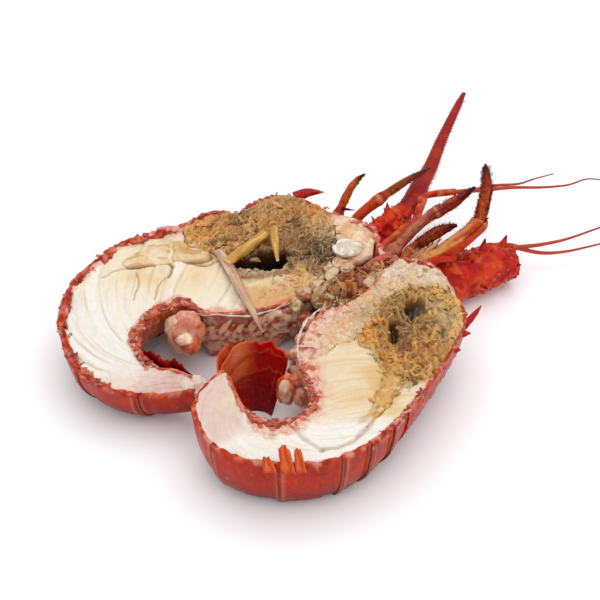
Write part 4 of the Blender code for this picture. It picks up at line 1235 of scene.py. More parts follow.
RIM_FLAKES = (  # half, edge (0 back, 1 belly), first and last station, how far in, how many
    ("left", LEFT, 0.0, 6.9, 13.8, 4.0, 150), ("left", LEFT, 1.0, 7.4, 13.8, 3.6, 170),
    ("right", RIGHT, 1.0, 7.6, 13.6, 2.6, 120), ("right", RIGHT, 0.0, 5.6, 9.0, 1.4, 30),
)
FLAKE_TINTS = ((178, 56, 36), (196, 76, 46), (214, 112, 78), (158, 46, 32), (226, 150, 118))


def torn_rims():
    """Ragged flakes of skin and shell along the torn edges of both tails."""
    rng = np.random.default_rng(37)
    batches = {"left": Batch(), "right": Batch()}
    for side, half, edge, first, last, inland, count in RIM_FLAKES:
        for k in range(count):
            u = first + (last - first) * (k + rng.random()) / count
            inset = rng.uniform(0.2, inland)
            centre = half.flank(u, edge, inset) + (0, 0, rng.uniform(-0.2, 0.5))
            ahead = half.flank(u + 0.05, edge, inset) - half.flank(u - 0.05, edge, inset)
            size = 0.7 + 1.1 * rng.random() ** 2
            turn = math.atan2(ahead[1], ahead[0]) + rng.normal(0, 0.5)
            axes = turn_about_up(turn) @ tip_forward(rng.normal(0, 0.3))
            points, faces = blob(centre, (2.1 * size, 0.7 * size, 0.3 * size), axes,
                                 rough=0.4, seed=470 + k)
            torn = 0.4 * smooth(fbm(points, 1.6, 2, 471), 0.0, 0.5)
            tone = painted(points.shape, FLAKE_TINTS[rng.integers(5)], ((132, 36, 24), torn))
            batches[side].add(points, faces, tone)
    for side, batch in batches.items():
        batch.build(side + "_rim_flakes", SKIN, (), "belly_skin")


def cores():
    """The flesh under the cut faces, seen at the open ends and between the pieces of shell."""
    for side, half in (("left", LEFT), ("right", RIGHT)):
        u = np.linspace(0.15, 15.9, 150)[:, None]
        under_face = np.where((u > 1.2) & (u < 6.6), CORE_UNDER_HOLLOWS, CORE_UNDER_MEAT)
        depth = blended(half.stations, u[:, 0])[:, 4:] - CORE_INSET
        first = np.arcsin(np.minimum(under_face / depth, 0.9) ** (SECTION_POWER / 2)) / np.pi
        t = first + (1 - 2 * first) * np.linspace(0.0, 1.0, 46)[None, :]
        skin = half.flank(u, t, CORE_INSET)
        skin[..., 2] = np.maximum(skin[..., 2], CORE_INSET)
        c = painted(skin.shape, (168, 92, 62),
                    ((206, 146, 108), smooth(fbm(skin, 5, 3, 461), -0.1, 0.4)))
        build(side + "_inner_flesh", skin, capped_tube_faces(*skin.shape[:2]), c, CREAM, ())


# ---------------------------------------------------------------- limbs

LEFT_ROOT_PATH = ((28, 14, 11), (33, 20, 12), (38, 28, 14), (42, 32.5, 17), (48, 39, 20.5), (54, 43, 24))
LEFT_ROOT_RADII = (5, 6, 7, 7, 6.5, 5.2)
LEFT_ROOT_SPINES = (((37, 31, 18), (35.5, 34, 23)), ((45, 40, 24), (44.5, 43, 29)),
                    ((54, 37, 24), (58, 41, 29)))
LEFT_WHIP_PATH = ((52, 39.5, 24), (56, 45.5, 25), (59, 51, 26), (62.6, 60, 28), (68.7, 73, 30),
                  (76.2, 93.5, 34), (86, 118.5, 38), (91.5, 132, 40))
LEFT_WHIP_RADII = (4.2, 5.2, 5.2, 4.6, 3.8, 3.0, 2.2, 1.2)
LEFT_STALK_PATH = ((34.5, 4, 24), (40, 11, 24), (48.2, 19.5, 26), (57.5, 29.5, 27), (61, 38.5, 28.5),
                   (65, 47.5, 30), (80, 51, 30))
LEFT_FEELER_PATHS = (
    ((79.5, 50.8, 30), (90, 53.5, 29.5), (101, 58, 29), (114, 61, 28), (124, 68.6, 26),
     (135, 76, 24)),
    ((79.5, 50.8, 30), (95, 54, 29), (110.4, 59, 27), (127, 63.5, 24), (141.6, 68.5, 22),
     (154, 77, 20), (166, 78, 18)),
)
RIGHT_ROOT_PATH = ((55, -10.5, 12.5), (62.5, -5.5, 12), (69, -1.3, 12), (82, 5.6, 11.5), (96.5, 13.5, 11),
                   (107, 17.5, 9.8))
RIGHT_ROOT_RADII = (8.4, 9.5, 11.2, 11.3, 10.6, 8.2)
RIGHT_ROOT_SPINES = (((91, 15, 18), (92.3, 18, 25)), ((101, 20, 16), (104, 24, 22.5)),
                     ((103, 10, 14), (110, 8, 16)), ((88, 0, 12), (92, -6, 12)))
RIGHT_STALK_PATH = ((62, 8, 12), (72, 15.2, 10.5), (82, 21.5, 10), (92, 26.5, 11),
                    (101, 28, 12.5), (109.6, 23.5, 15))
RIGHT_FEELER_PATHS = (
    ((109.3, 23.6, 15), (122, 24, 16.5), (135.6, 28, 17), (154.5, 39, 16), (163, 44, 15)),
    ((109.3, 23.6, 15), (122, 23, 12), (135.7, 26, 10.5), (154, 34, 9), (163, 38.5, 8)),
)
LEFT_HORN_PATH = ((-3, 31.8, -3.5), (4, 33.6, -2), (12, 33, -1))
RIGHT_HORN_PATH = ((73.5, -58, 33), (78.6, -52, 34.6), (82.2, -47, 36))
EYE_STALK_PATH = ((56.8, -18, 32), (62.3, -9.5, 32), (68.5, -5.8, 30.5), (75, -2, 28))
LEGS = (
    (((0, 21, 15), (3.5, 30, 9), (8, 38.5, 6), (14, 44, 10), (19.6, 50, 16), (23, 54, 22), (26.6, 59, 27),
      (30.3, 62.5, 30), (34, 62.7, 33)), (2.6, 2.6, 2.6, 2.8, 2.6, 2.4, 2.0, 1.4, 0.4)),
    (((12, 15, 17), (15, 24, 11), (20, 33.5, 9.5), (25, 37.5, 15), (30.8, 41.7, 22), (41, 46.3, 29),
      (47.5, 49.7, 32), (56.7, 55.6, 35), (67.5, 61, 38)),
     (2.8, 2.8, 2.8, 2.8, 2.7, 2.7, 2.3, 1.8, 0.5)),
    (((34.6, -11, 25), (40.0, -2.4, 25), (46, 6.5, 26), (54.4, 16.2, 30), (64.5, 23, 35),
      (74.5, 27, 39), (87.5, 36.3, 43)), (3.7, 3.8, 3.6, 3.0, 2.6, 3.1, 0.9)),
    (((40.5, -12, 13), (44, -6.5, 16), (49.5, 2.0, 21.5), (55.2, 8.5, 25), (61.5, 11.4, 29),
      (69, 14.8, 32), (77.4, 17, 34)), (2.4, 2.4, 2.8, 2.8, 3.0, 2.8, 0.8)),
    (((44, -13, 15), (50, -8, 18), (57, -3, 23.5), (62.3, -1, 26), (70.2, 2.5, 29), (79.2, 8, 32),
      (87.5, 15.8, 35), (89, 19.0, 38), (90.8, 24.3, 42), (92.3, 30.5, 46),
      (92.6, 37.3, 50), (92.7, 43.7, 52)),
     (3.2, 3.4, 3.9, 4.2, 4.4, 4.4, 3.9, 3.5, 3.2, 2.8, 2.0, 0.6)),
)
LEG_1_SPUR = ((22, 50, 20), (29.3, 45.6, 22))
# For each leg: colour at the root, along the blade and at the tip, share where the last
# joint lies, share from which bristles grow, and how many of them
LEG_LOOKS = (
    ((200, 52, 20), (206, 88, 36), (110, 50, 18), 0.50, 0.60, 90),
    ((206, 74, 36), (146, 66, 24), (90, 50, 18), 0.62, 0.72, 60),
    ((176, 74, 56), (166, 54, 22), (78, 30, 12), 0.72, 0.64, 360),
    ((186, 78, 44), (154, 58, 24), (110, 38, 16), 0.48, 0.44, 380),
    ((200, 66, 28), (164, 60, 20), (96, 38, 14), 0.56, 0.44, 900),
)
# The paler flank of three legs: its colour, and the angle round the leg that it faces
FLANKS = {3: ((190, 120, 96), 1.9), 4: ((196, 150, 96), 1.3), 5: ((224, 166, 98), 1.3)}
HAIR_TONES = ((70, 24, 12), (110, 44, 20), (46, 16, 10))
WHIP_RINGS = 58
FEELER_RINGS = 60


def swell(radii, places, amount, width=0.035, count=40):
    """Radii along a limb with a knuckle at each of the places."""
    f = np.linspace(0, 1, count)
    r = blended([[v] for v in radii], f * (len(radii) - 1))[:, 0]
    for place in places:
        r = r * (1 + amount * np.exp(-((f - place) / width) ** 2)
                 - 0.6 * amount * np.exp(-((f - place - 2.2 * width) / width) ** 2))
    return r


def leg_colours(k, look_of, points, share, turn):
    """Colours of a leg: mottled red, darker past its joint and toward its tip."""
    root, blade, tip, joint = look_of[:4]
    wide, fine = fbm(points, 8, 2, 510 + k), fbm(points, 1.6, 2, 520 + k)
    streak = noise(as3(share * 5, turn * 1.6), 1.0, 530 + k)
    c = painted(points.shape, root, ((214, 116, 70), 0.6 * smooth(streak, 0.1, 0.5)))
    if k in FLANKS:
        pale, facing = FLANKS[k]
        c = tinted(c, (pale, 0.75 * smooth(np.cos(turn - facing) + 0.8 * streak, 0.6, 1.1)
                       * smooth(joint - share, -0.02, 0.1)))
    return tinted(
        c,
        (blade, smooth(share, joint, joint + 0.12)),
        ((206, 116, 56), 0.55 * smooth(streak + 0.5 * fine, 0.2, 0.6) * smooth(share, 0.3, 0.5)),
        (tip, smooth(share + 0.06 * wide, 0.82, 0.97)),
        ((84, 26, 14), 0.6 * smooth(-fine, 0.25, 0.6)),
        ((226, 160, 120), 0.6 * bell(share - joint, 0.012)),
        ((120, 30, 18), 0.6 * bell(share - joint - 0.03, 0.012)))


def bristles(batch, rng, k, path, radii, first, count):
    """Short hairs on a leg, from a share of its length onward."""
    centres, r, ahead, side, top = along(path, radii, 90)
    for _ in range(count):
        i = int(89 * (first + (0.97 - first) * rng.random() ** 0.8))
        if k != 5:
            angle = rng.normal(0.5 * math.pi, 1.0)
        else:
            angle = rng.choice((-1, 1)) * rng.normal(0.9, 0.7)
        out = top[i] * math.cos(angle) - side[i] * math.sin(angle)
        if k in FLANKS:
            out = (side[i] * math.cos(angle + 0.5 * math.pi * rng.integers(0, 2))
                   + top[i] * math.sin(angle))
        foot = centres[i] + out * r[i] * 0.9
        reach = (0.7 + 1.0 * rng.random()) * (0.8 if k < 3 else 1.0)
        tip = foot + (out + ahead[i] * (0.5 + 0.5 * rng.random())) * reach
        batch.add(*spike(foot, tip, 0.2), rgb(HAIR_TONES[rng.integers(3)]))


def limbs(rng):
    """The five legs with their bristles."""
    for k, ((path, radii), look_of) in enumerate(zip(LEGS, LEG_LOOKS), 1):
        joint, hairy, hairs = look_of[3:]
        batch = Batch()
        widths = swell(radii, (joint, joint * 0.45), 0.22)
        points, faces, share, turn = tube(path, widths, 90, 20, rough=0.16, rough_size=2.5,
                                          seed=500 + k)
        batch.add(points, faces, leg_colours(k, look_of, points, share, turn))
        bristles(batch, rng, k, path, radii, hairy, hairs)
        if k == 1:
            batch.add(*spike(*LEG_1_SPUR, 1.0, 8), rgb((84, 44, 22)))
        batch.build(f"leg_{k}_hairy", LIMB, (f"leg_{k}",), "leg_red")


def cone(batch, path, radii, count, sides, base, tip, dark_from, dark_at):
    """A spine that darkens toward its tip."""
    points, faces, share, _ = tube(path, radii, count, sides)
    batch.add(points, faces, painted(points.shape, base, (tip, smooth(share, dark_from, dark_at))))


def root_of(name, path, radii, spines, node, seed, rng):
    """An antenna root: granular, freckled and spiny."""
    batch = Batch()
    points, faces, share, _ = tube(path, radii, 110, 96, flatness=0.92)
    out = points - middle_of(path, share)
    out /= np.maximum(np.linalg.norm(out, axis=1), 1e-6)[:, None]
    grain, _, kind = cells(points, 2.4, seed)
    wide = fbm(points, 10, 3, seed + 1)
    lift = (0.9 * smooth(0.5 - grain, 0, 0.4)
            + (1.9 * wide + 1.2 * fbm(points, 5, 2, seed + 7))
            * np.sin(np.pi * np.clip(share, 0.02, 0.98)))
    ridge = bell(share - 0.30, 0.03) - bell(share - 0.36, 0.03)
    points = points + out * (lift + 0.6 * ridge)[:, None]
    batch.add(points, faces, painted(
        points.shape, (206, 44, 16),
        ((218, 70, 30), smooth(wide, 0, 0.4)),
        ((176, 28, 12), 0.8 * smooth(-wide, 0.05, 0.4)),
        ((232, 118, 62), 0.8 * smooth(0.34 - grain, 0, 0.2) * (kind > 0.72)),
        ((214, 110, 60), 0.6 * smooth(fbm(points, 5, 2, seed + 5), 0.25, 0.6))))
    for foot, tip in spines:
        foot, tip = np.array(foot, float), np.array(tip, float)
        widths = np.array((0.42, 0.2, 0.03)) * np.linalg.norm(tip - foot)
        cone(batch, [foot, foot + (tip - foot) * 0.55, tip], widths, 14, 12,
             (200, 52, 28), (64, 26, 16), 0.55, 0.85)
    ahead = np.array(path[-1]) - np.array(path[0])
    ahead = ahead / np.linalg.norm(ahead)
    for _ in range(34):
        i = rng.integers(len(points) - 2)
        if points[i, 2] < 4 or not 0.1 < share[i] < 0.95:
            continue
        reach = 1.2 + 2.2 * rng.random() ** 2
        axis = out[i] + 0.4 * ahead
        thorn = [points[i] - 0.3 * out[i], points[i] + 0.5 * reach * axis, points[i] + reach * axis]
        cone(batch, thorn, (0.9, 0.5, 0.12), 6, 8, (206, 60, 30), (110, 44, 20), 0.6, 0.95)
    batch.build(name, RED, (node,), "shell_red")


def whip(rng):
    """The left antenna's long ringed whip with its hairs."""
    batch = Batch()
    points, faces, share, turn = tube(LEFT_WHIP_PATH, LEFT_WHIP_RADII, 240, 28, flatness=0.5)
    centre = middle_of(LEFT_WHIP_PATH, share)
    rings = np.sin(share * 2 * np.pi * WHIP_RINGS)
    points = centre + (points - centre) * (1 + 0.025 * rings)[:, None]
    wide = fbm(points, 9, 3, 601)
    batch.add(points, faces, painted(
        points.shape, (160, 38, 22),
        ((154, 54, 56), smooth(wide, 0, 0.5) * smooth(-share, -0.8, -0.1)),
        ((178, 54, 32), smooth(-wide, 0, 0.5)),
        ((120, 26, 20), 0.22 * (rings < -0.4)),
        ((206, 92, 60), 0.5 * smooth(np.abs(np.cos(turn)), 0.85, 1.0))))
    centres, r, ahead, side, _ = along(LEFT_WHIP_PATH, LEFT_WHIP_RADII, 240)
    for i in range(12, 222, 3):
        for hand in (-1, 1):
            foot = centres[i] + side[i] * hand * r[i] * 0.95
            reach = (0.7 + 0.8 * rng.random() + 0.6 * (i % 12 == 0)) * (1.3 if hand < 0 else 0.7)
            tip = foot + (side[i] * hand + ahead[i] * 1.1) * reach
            batch.add(*spike(foot, tip, 0.28, 5), rgb((120, 32, 24)))
    batch.build("left_whip_ringed", RED, ("left_antenna_whip",), "shell_red")


def root_shreds(rng):
    """Torn fibres beside the left antenna's root."""
    batch = Batch()
    tones = ((226, 184, 132), (206, 150, 96), (214, 128, 70), (236, 206, 164))
    for k in range(120):
        start = np.array((56.5, 2.0, 23.0)) + rng.normal(0, 1, 3) * (2.6, 2.2, 1.4)
        way = np.array((0.72, 0.6, 0.36)) + rng.normal(0, 0.12, 3)
        reach = 4 + 8 * rng.random()
        middle = start + 0.5 * reach * way + rng.normal(0, 0.5, 3)
        points, faces, _, _ = tube((start, middle, start + reach * way), (0.6, 0.8, 0.2), 12, 7,
                                   rough=0.25, rough_size=1, seed=k)
        batch.add(points, faces, rgb(tones[rng.integers(4)]))
    batch.build("leg_root_shreds", CREAM, (), "meat_cream")


def feelers(side, stalk, lashes, knuckles):
    """One small feeler: its jointed stalk and two ringed lashes."""
    batch = Batch()
    points, faces, share, _ = tube(stalk, swell((2.2, 2.2, 2.1, 1.8), knuckles, 0.25), 80, 18,
                                   rough=0.08, rough_size=3, seed=611)
    wide = fbm(points, 4, 2, 612)
    joints = [((150, 34, 20), 0.7 * bell(share - place - 0.03, 0.012)) for place in knuckles]
    batch.add(points, faces, painted(
        points.shape, (206, 78, 42),
        ((226, 128, 76), smooth(wide, 0.1, 0.5)),
        ((170, 44, 26), smooth(-wide, 0.15, 0.5)), *joints))
    for lash in lashes:
        points, faces, share, _ = tube(lash, (1.2, 0.9, 0.55, 0.32), 170, 10)
        centre = middle_of(lash, share)
        rings = np.sin(share * 2 * np.pi * FEELER_RINGS)
        points = centre + (points - centre) * (1 + 0.06 * rings)[:, None]
        batch.add(points, faces, painted(
            points.shape, (206, 84, 60),
            ((168, 66, 62), smooth(share, 0.4, 0.9)),
            ((140, 40, 34), 0.4 * (rings < -0.5))))
    batch.build(side + "_feelers", LIMB, (side + "_antennule",), "leg_red")


def horn(name, node, path, radius, tip_tint):
    """A horn over an eye."""
    points, faces, share, _ = tube(path, (radius, 0.8 * radius, 0.35), 40, 24, rough=0.12,
                                   rough_size=2, seed=621)
    c = painted(points.shape, (176, 20, 28),
                ((214, 84, 70), 0.5 * smooth(fbm(points, 2, 2, 622), 0.1, 0.5)),
                (tip_tint, smooth(share, 0.82, 0.93)))
    build(name, points, faces, c, RED, (node,))


def antennae(rng):
    """Both antenna roots, the left whip, the two forked feelers, the horns and the eye stalk."""
    root_of("left_antenna_root", LEFT_ROOT_PATH, LEFT_ROOT_RADII, LEFT_ROOT_SPINES,
            "left_antenna_base", 560, rng)
    root_of("right_antenna_root", RIGHT_ROOT_PATH, RIGHT_ROOT_RADII, RIGHT_ROOT_SPINES,
            "right_antenna_base", 580, rng)
    whip(rng)
    root_shreds(rng)
    feelers("left", LEFT_STALK_PATH, LEFT_FEELER_PATHS, (0.42, 0.76))
    feelers("right", RIGHT_STALK_PATH, RIGHT_FEELER_PATHS, (0.35, 0.7))
    horn("left_horn_tip", "left_horn", LEFT.route(LEFT_HORN_PATH), 2.8, (180, 178, 150))
    horn("right_horn_tip", "right_horn", RIGHT_HORN_PATH, 1.7, (170, 60, 44))
    points, faces, _, _ = tube(EYE_STALK_PATH, (1.8, 1.6, 1.5, 1.4), 60, 20, rough=0.12,
                               rough_size=3, seed=631)
    c = painted(points.shape, (196, 50, 30),
                ((222, 104, 70), smooth(fbm(points, 3, 2, 632), 0.0, 0.5)))
    build("right_eye_rod", points, faces, c, RED, ("right_eye_stalk",))


# ---------------------------------------------------------------- fans and swimmerets

FAN_CENTRE = (-20, -85)
FAN_LEAVES = (("right_fan_inner", (14.5, 13), (176, 32), 37),
              ("right_fan_outer", (15.9, 15.2), (188, 112), 35))
LEAF_THICKNESS = 1.0
FAN_FLARE = 0.22
FAN_EDGES = {  # height of the leaf's edge from its left end to its right end
    "right_fan_inner": ((0, 0.1, 0.28, 0.5, 0.54, 0.62, 0.66, 0.8, 0.83, 1.0),
                        (0.84, 0.86, 0.95, 1.03, 0.98, 1.02, 0.96, 1.03, 0.92, 0.86)),
    "right_fan_outer": ((0, 0.3, 0.6, 0.8, 1.0), (0.86, 1.06, 1.1, 0.98, 0.8)),
}


def inner_leaf_colours(f, g):
    """Deep red, with a painted orange highlight and a painted glint at the upper left, painted highlight
    arcs with painted shade under each, and painted shade low in the cup.
    """
    shifted = f + 0.2 * noise(as3(g * 5, f * 3), 1, 703)
    c = painted(
        (*f.shape, 3), (172, 30, 16),
        # painted highlight: orange toward the upper left of the cup
        ((238, 116, 68), smooth(shifted, 0.3, 0.72) * smooth(0.66 - g, 0, 0.25)),
        # painted glint at the upper left
        ((240, 150, 104), 0.6 * patch(g, f, (0.34, 0.86), (0.1, 0.12))),
        ((190, 22, 16), smooth(f, 0.75, 0.92) * smooth(g, 0.5, 0.75)))
    # painted highlight arcs, each with a band of painted shade just below it
    for level in (0.42, 0.62, 0.8):
        away = f - level - 0.1 * np.sin(3.2 * g + 6 * level)
        c = tinted(c,
                   ((226, 92, 52), 0.6 * bell(away, 0.014)),
                   ((100, 8, 6), 0.5 * bell(away + 0.04, 0.03)))
    # painted shade low in the middle of the cup
    return tinted(c, ((136, 16, 9), smooth(0.6 - f, 0, 0.3) * smooth(g, 0.3, 0.6)))


def outer_leaf_colours(f, g):
    return painted((*f.shape, 3), (206, 62, 40),
                   ((220, 100, 66), smooth(noise(as3(g * 3, f * 4), 1, 704), -0.1, 0.5)))


def fan_leaf(name, radii, turn, height, colours):
    """One upright leaf of the right fan, as a cup."""
    f, g = np.meshgrid(np.linspace(0, 1, 46), np.linspace(0, 1, 70), indexing="ij")
    angle = np.radians(turn[0] + (turn[1] - turn[0]) * g)
    edge = np.interp(g, *FAN_EDGES[name]) + 0.025 * noise(as3(g * 9, 0 * g), 1, 701)
    ribs = 0.35 * np.sin(angle * 9) * f + 0.5 * noise(as3(g * 4, f * 3), 1.0, 702)
    reach = (0.6 + 0.4 * np.sin(0.5 * np.pi * f)) * (1 + FAN_FLARE * f * smooth(g, 0.55, 1.0))
    walls = [np.stack((FAN_CENTRE[0] + (radii[0] * reach - inset + ribs) * np.cos(angle),
                       FAN_CENTRE[1] + (radii[1] * reach - inset + ribs) * np.sin(angle),
                       height * f * edge), -1) for inset in (0.0, LEAF_THICKNESS)]
    points, faces = closed_slab(*walls)
    veins = np.abs(noise(as3(g * 2.2, f * 7 + g * 2), 1, 706))
    c = tinted(colours(f, g),
               ((214, 84, 54), 0.6 * smooth(f, 0.975, 1.0)),
               ((214, 60, 40), 0.5 * smooth(veins, 0.06, 0.0)))
    build(name + "_leaf", points, faces, np.tile(c.reshape(-1, 3), (2, 1)), FAN, (name,))


def folded_fan():
    """The left fan, folded along the body."""
    u, k = np.meshgrid(np.linspace(12.2, 15.6, 90), np.linspace(0, 1, 30), indexing="ij")
    t = np.interp(k, (0, 0.9, 1), (0.8, 1.0, 1.0))
    ragged = 1.6 * fbm(as3(u * 3, 0 * u), 1.0, 3, 711)
    taper = smooth(u, 12.2, 12.9) * smooth(-u, -15.6, -14.6)
    walls = []
    for out in (-0.4 - 1.8 * taper, -0.4 - (1.8 + LEAF_THICKNESS) * taper - 0.1):
        skin = LEFT.flank(u, t, out + 0.4 * noise(as3(u * 5, k * 2), 1.0, 712))
        skin[..., 2] += (k > 0.9) * (k - 0.9) * 10 * (2.4 + 1.6 * ragged) * taper
        walls.append(skin)
    points, faces = closed_slab(*walls)
    c = painted((*u.shape, 3), (150, 24, 18),
                ((200, 70, 46), smooth(noise(as3(u * 4, k * 3), 1, 713), 0.1, 0.5)),
                ((110, 10, 8), smooth(noise(as3(u * 3, k * 2), 1, 714), 0.1, 0.5)))
    build("left_fan_folded", points, faces, np.tile(c.reshape(-1, 3), (2, 1)), FAN,
          ("left_tail_fan",))


def fans():
    """The leaves of the tail fan: two cups on the right, one fold on the left."""
    for leaf, colours in zip(FAN_LEAVES, (inner_leaf_colours, outer_leaf_colours)):
        fan_leaf(*leaf, colours)
    folded_fan()


def fleshy(batch, centre, radii, turn, tone, seed, rough=0.2):
    """One soft lump with uneven colour; tone gives base, patch and amount of patch."""
    points, faces = blob(centre, radii, turn_about_up(math.radians(turn)), LUMP_LEVEL, rough, seed)
    base, over, amount = tone
    shown = smooth(fbm(points, max(radii) * 0.8, 3, seed + 3), 0.35 - amount, 0.75 - amount)
    tints = painted(points.shape, base, (over, shown))
    points[:, 2] = np.maximum(points[:, 2], 0.02)
    batch.add(points, faces, tints)


# Lumps of each swimmeret: centre, radii, and colours as fleshy takes them
LEFT_SWIMMERET = (
    ((-53.5, -49.5, 20), (8.3, 7.3, 10.5), ((230, 172, 142), (206, 112, 82), 0.28)),
    ((-50.2, -56.0, 20.6), (4.8, 4.5, 4.3), ((232, 120, 66), (206, 74, 36), 0.4)),
    ((-46.8, -50.5, 24), (3.6, 3.6, 6.0), ((232, 148, 108), (206, 92, 60), 0.3)),
    ((-56.5, -47.5, 24.5), (6.0, 5.2, 5.4), ((232, 184, 154), (212, 132, 104), 0.2)),
    ((-51.5, -47, 28), (6.2, 4.0, 4.0), ((232, 160, 130), (210, 112, 86), 0.25)),
    ((-52.4, -56.6, 24.0), (4.2, 3.4, 2.8), ((255, 226, 192), (246, 186, 138), 0.1)),
)
RIGHT_SWIMMERET = (
    ((-6.0, -84, 19), (4.6, 3.8, 8.8), ((238, 136, 84), (212, 84, 42), 0.3)),
    ((-6.4, -85.8, 19.8), (3.2, 2.8, 6.6), ((255, 228, 196), (246, 178, 128), 0.1)),
    ((-1.4, -84.6, 25.5), (3.6, 2.8, 2.4), ((226, 118, 76), (200, 66, 38), 0.3)),
    ((0.8, -87.6, 18), (3.8, 3.2, 5.4), ((232, 170, 142), (212, 110, 80), 0.25)),
)
SLIM_FROM = 4.3      # left leg stumps behind this station are slim, with bright ivory before it


def swimmerets():
    """The soft lumps under each tail."""
    for side, lumps in (("left", LEFT_SWIMMERET), ("right", RIGHT_SWIMMERET)):
        batch = Batch()
        for k, (centre, radii, tone) in enumerate(lumps):
            fleshy(batch, centre, radii, 0, tone, 720 + k)
        batch.build(side + "_swimmeret_stump", SKIN, (side + "_swimmeret",), "belly_skin")


def leg_stumps(rng):
    """The knuckles of the walking legs: ivory lumps with red streaks between them."""
    for side, half, stations, count in (("left", LEFT, (6.5, 5.7, 4.9, 4.1, 3.3, 2.6), 46),
                                        ("right", RIGHT, (6.4, 5.6, 4.8), 16)):
        batch = Batch()
        for k, u in enumerate(stations):
            centre = half.flank(u, 0.8, -1.2)
            size = 6.3 - 0.2 * k if side == "left" else 4.8
            tone = (222, 164, 132), (188, 62, 42), 0.4
            fleshy(batch, centre, (size, 5.2, 8.2), 25, tone, 740 + k)
        first, last = stations[0], stations[-1]
        for k in range(count):
            u = first + 0.4 + (last - first - 0.8) * (k + rng.random() * 0.5) / count
            centre = half.flank(u, 0.84 + 0.13 * rng.random(), -0.9)
            if side == "left" and u > SLIM_FROM:
                radii = 1.5 + rng.random() * 0.7, 1.8, 4.0 + 2 * rng.random()
                tilt = math.radians(35)
            else:
                radii = 3.3 + 1.8 * rng.random(), 2.7, 3.4 + 1.6 * rng.random()
                tilt = math.radians(rng.uniform(-30, 30))
            points, faces = blob(centre, radii, tip_forward(tilt), rough=0.2, seed=760 + k)
            base = (246, 212, 170) if u < SLIM_FROM else (244, 190, 148)
            red = smooth(fbm(points, 3.2, 2, 770), 0.05, 0.35)
            batch.add(points, faces, painted(points.shape, base, ((196, 66, 42), red)))
        batch.build(side + "_leg_stumps", SKIN, (side + "_leg_bases",), "meat_cream")


# ---------------------------------------------------------------- pieces on the cut faces

ROD_PATHS = (
    ((-34.5, -19, 38.5), (-25.5, -10.7, 41), (-16.5, -2, 43)),
    ((-12.5, 0.0, 44.8), (-11.8, -8.5, 42), (-10.5, -16.5, 37.7)),
)
ROD_RADII = ((2.3, 2.6, 2.4), (2.0, 1.9, 0.7))
BLADE_PATH = ((-39, -10, 3.2), (-34, -19, 3.2), (-27, -35, 3.0), (-21, -48, 2.0), (-17, -55, -3))
BLADE_RADII = (2.3, 2.6, 2.2, 1.5, 0.4)
STRIP_PATH = ((41, -86, 1.4), (39.5, -94, 1.6), (36, -103, 1.4), (32, -111, 1.2), (26.5, -119, 0.6))
SHARDS = (((-12.4, -142.2), 5.6, 4.2), ((-5.0, -142.6), 6.0, 9.2), ((0.2, -142.2), 4.4, 7.6))
SHARD_FOOT = -3.0
MUSCLE_CHUNKS = (
    ((-41.5, -11.6), (-43.4, -9.2), (-48, -7.8), (-52.6, -6.4), (-55, -3), (-60.6, -1.2), (-61.4, -4.5),
     (-60.6, -9), (-61.2, -13), (-60, -15.4), (-54, -15.4), (-46, -15), (-42.4, -13.8)),
    ((-61.2, -0.2), (-66, -0.6), (-70.5, -2.8), (-75, -5.2), (-79, -9.4), (-83.6, -13.4), (-84, -16.8),
     (-79, -17.6), (-72, -16.8), (-61.6, -15.8), (-61.8, -12.4), (-61.2, -9), (-62, -4.5)),
)
ROD_RIBS = 17


def chunk_of(outline, half, rise, seed, rings=40, sides=180, deep=2.5):
    """A flat-topped slice of muscle over an outline: points, faces and place inside it."""
    outline = np.asarray(outline, float)
    loop = np.vstack((outline[-1:], outline, outline[:2]))
    k = np.linspace(1, len(outline) + 1, sides, endpoint=False)
    edge = blended(loop, k)
    centre = outline.mean(axis=0)
    r = np.linspace(0, 1, rings) ** 0.75
    ab = centre + (edge - centre)[None] * r[:, None, None]
    p = as3(ab[..., 0], ab[..., 1])
    wobble = 1.2 * fbm(p, 6, 3, seed) + 0.8 * folds_of(p, 5, seed + 4)
    height = rise * (1 - r[:, None] ** 9) ** 0.5 + wobble * (1 - r[:, None] ** 4) - 0.6
    top = half.place(ab[..., 0], ab[..., 1], height)
    under = half.place(edge[:, 0], edge[:, 1], -deep)
    points = np.concatenate((top.reshape(-1, 3), under))
    faces = grid_faces(rings, sides, wrap=True).tolist()
    last = (rings - 1) * sides
    n = rings * sides
    faces += [[last + i, last + (i + 1) % sides, n + (i + 1) % sides, n + i] for i in range(sides)]
    faces.append([n + i for i in range(sides)])
    ab = np.concatenate((ab.reshape(-1, 2), edge))
    return points, faces, ab, np.append(np.repeat(r, sides), np.ones(sides))


def back_muscle():
    """The two pieces of torn muscle behind the left tomalley."""
    batch = Batch()
    for k, (outline, rise) in enumerate(zip(MUSCLE_CHUNKS, (2.2, 1.4))):
        points, faces, ab, r = chunk_of(outline, LEFT, rise, 800 + k)
        a, b = ab[:, 0], ab[:, 1]
        grain = noise(as3(a * 0.12 + b * 0.02, b * 0.5), 1.0, 810 + k)
        pale = smooth(fbm(points, 5, 3, 815), -0.1, 0.3) * (0.6 + 0.4 * (a < -61))
        batch.add(points, faces, painted(
            points.shape, ((228, 184, 120), (238, 208, 156))[k],
            ((243, 222, 184), pale),
            ((206, 152, 84), 0.6 * smooth(-grain, 0.05, 0.45)),
            ((212, 150, 66), 0.85 * spot(a, b, (-51, -7.5), (9, 2.6), 6)),
            ((238, 212, 168), 0.7 * spot(a, b, (-50, -12.6), (7, 1.6), 2)),
            ((150, 98, 48), 0.7 * spot(a, b, (-42, -12), (2.0, 2.4))),
            ((190, 138, 78), 0.5 * smooth(r, 0.93, 1.0))))
    batch.build("left_back_muscle_cut", MEAT, ("left_back_muscle",), "meat_cream")


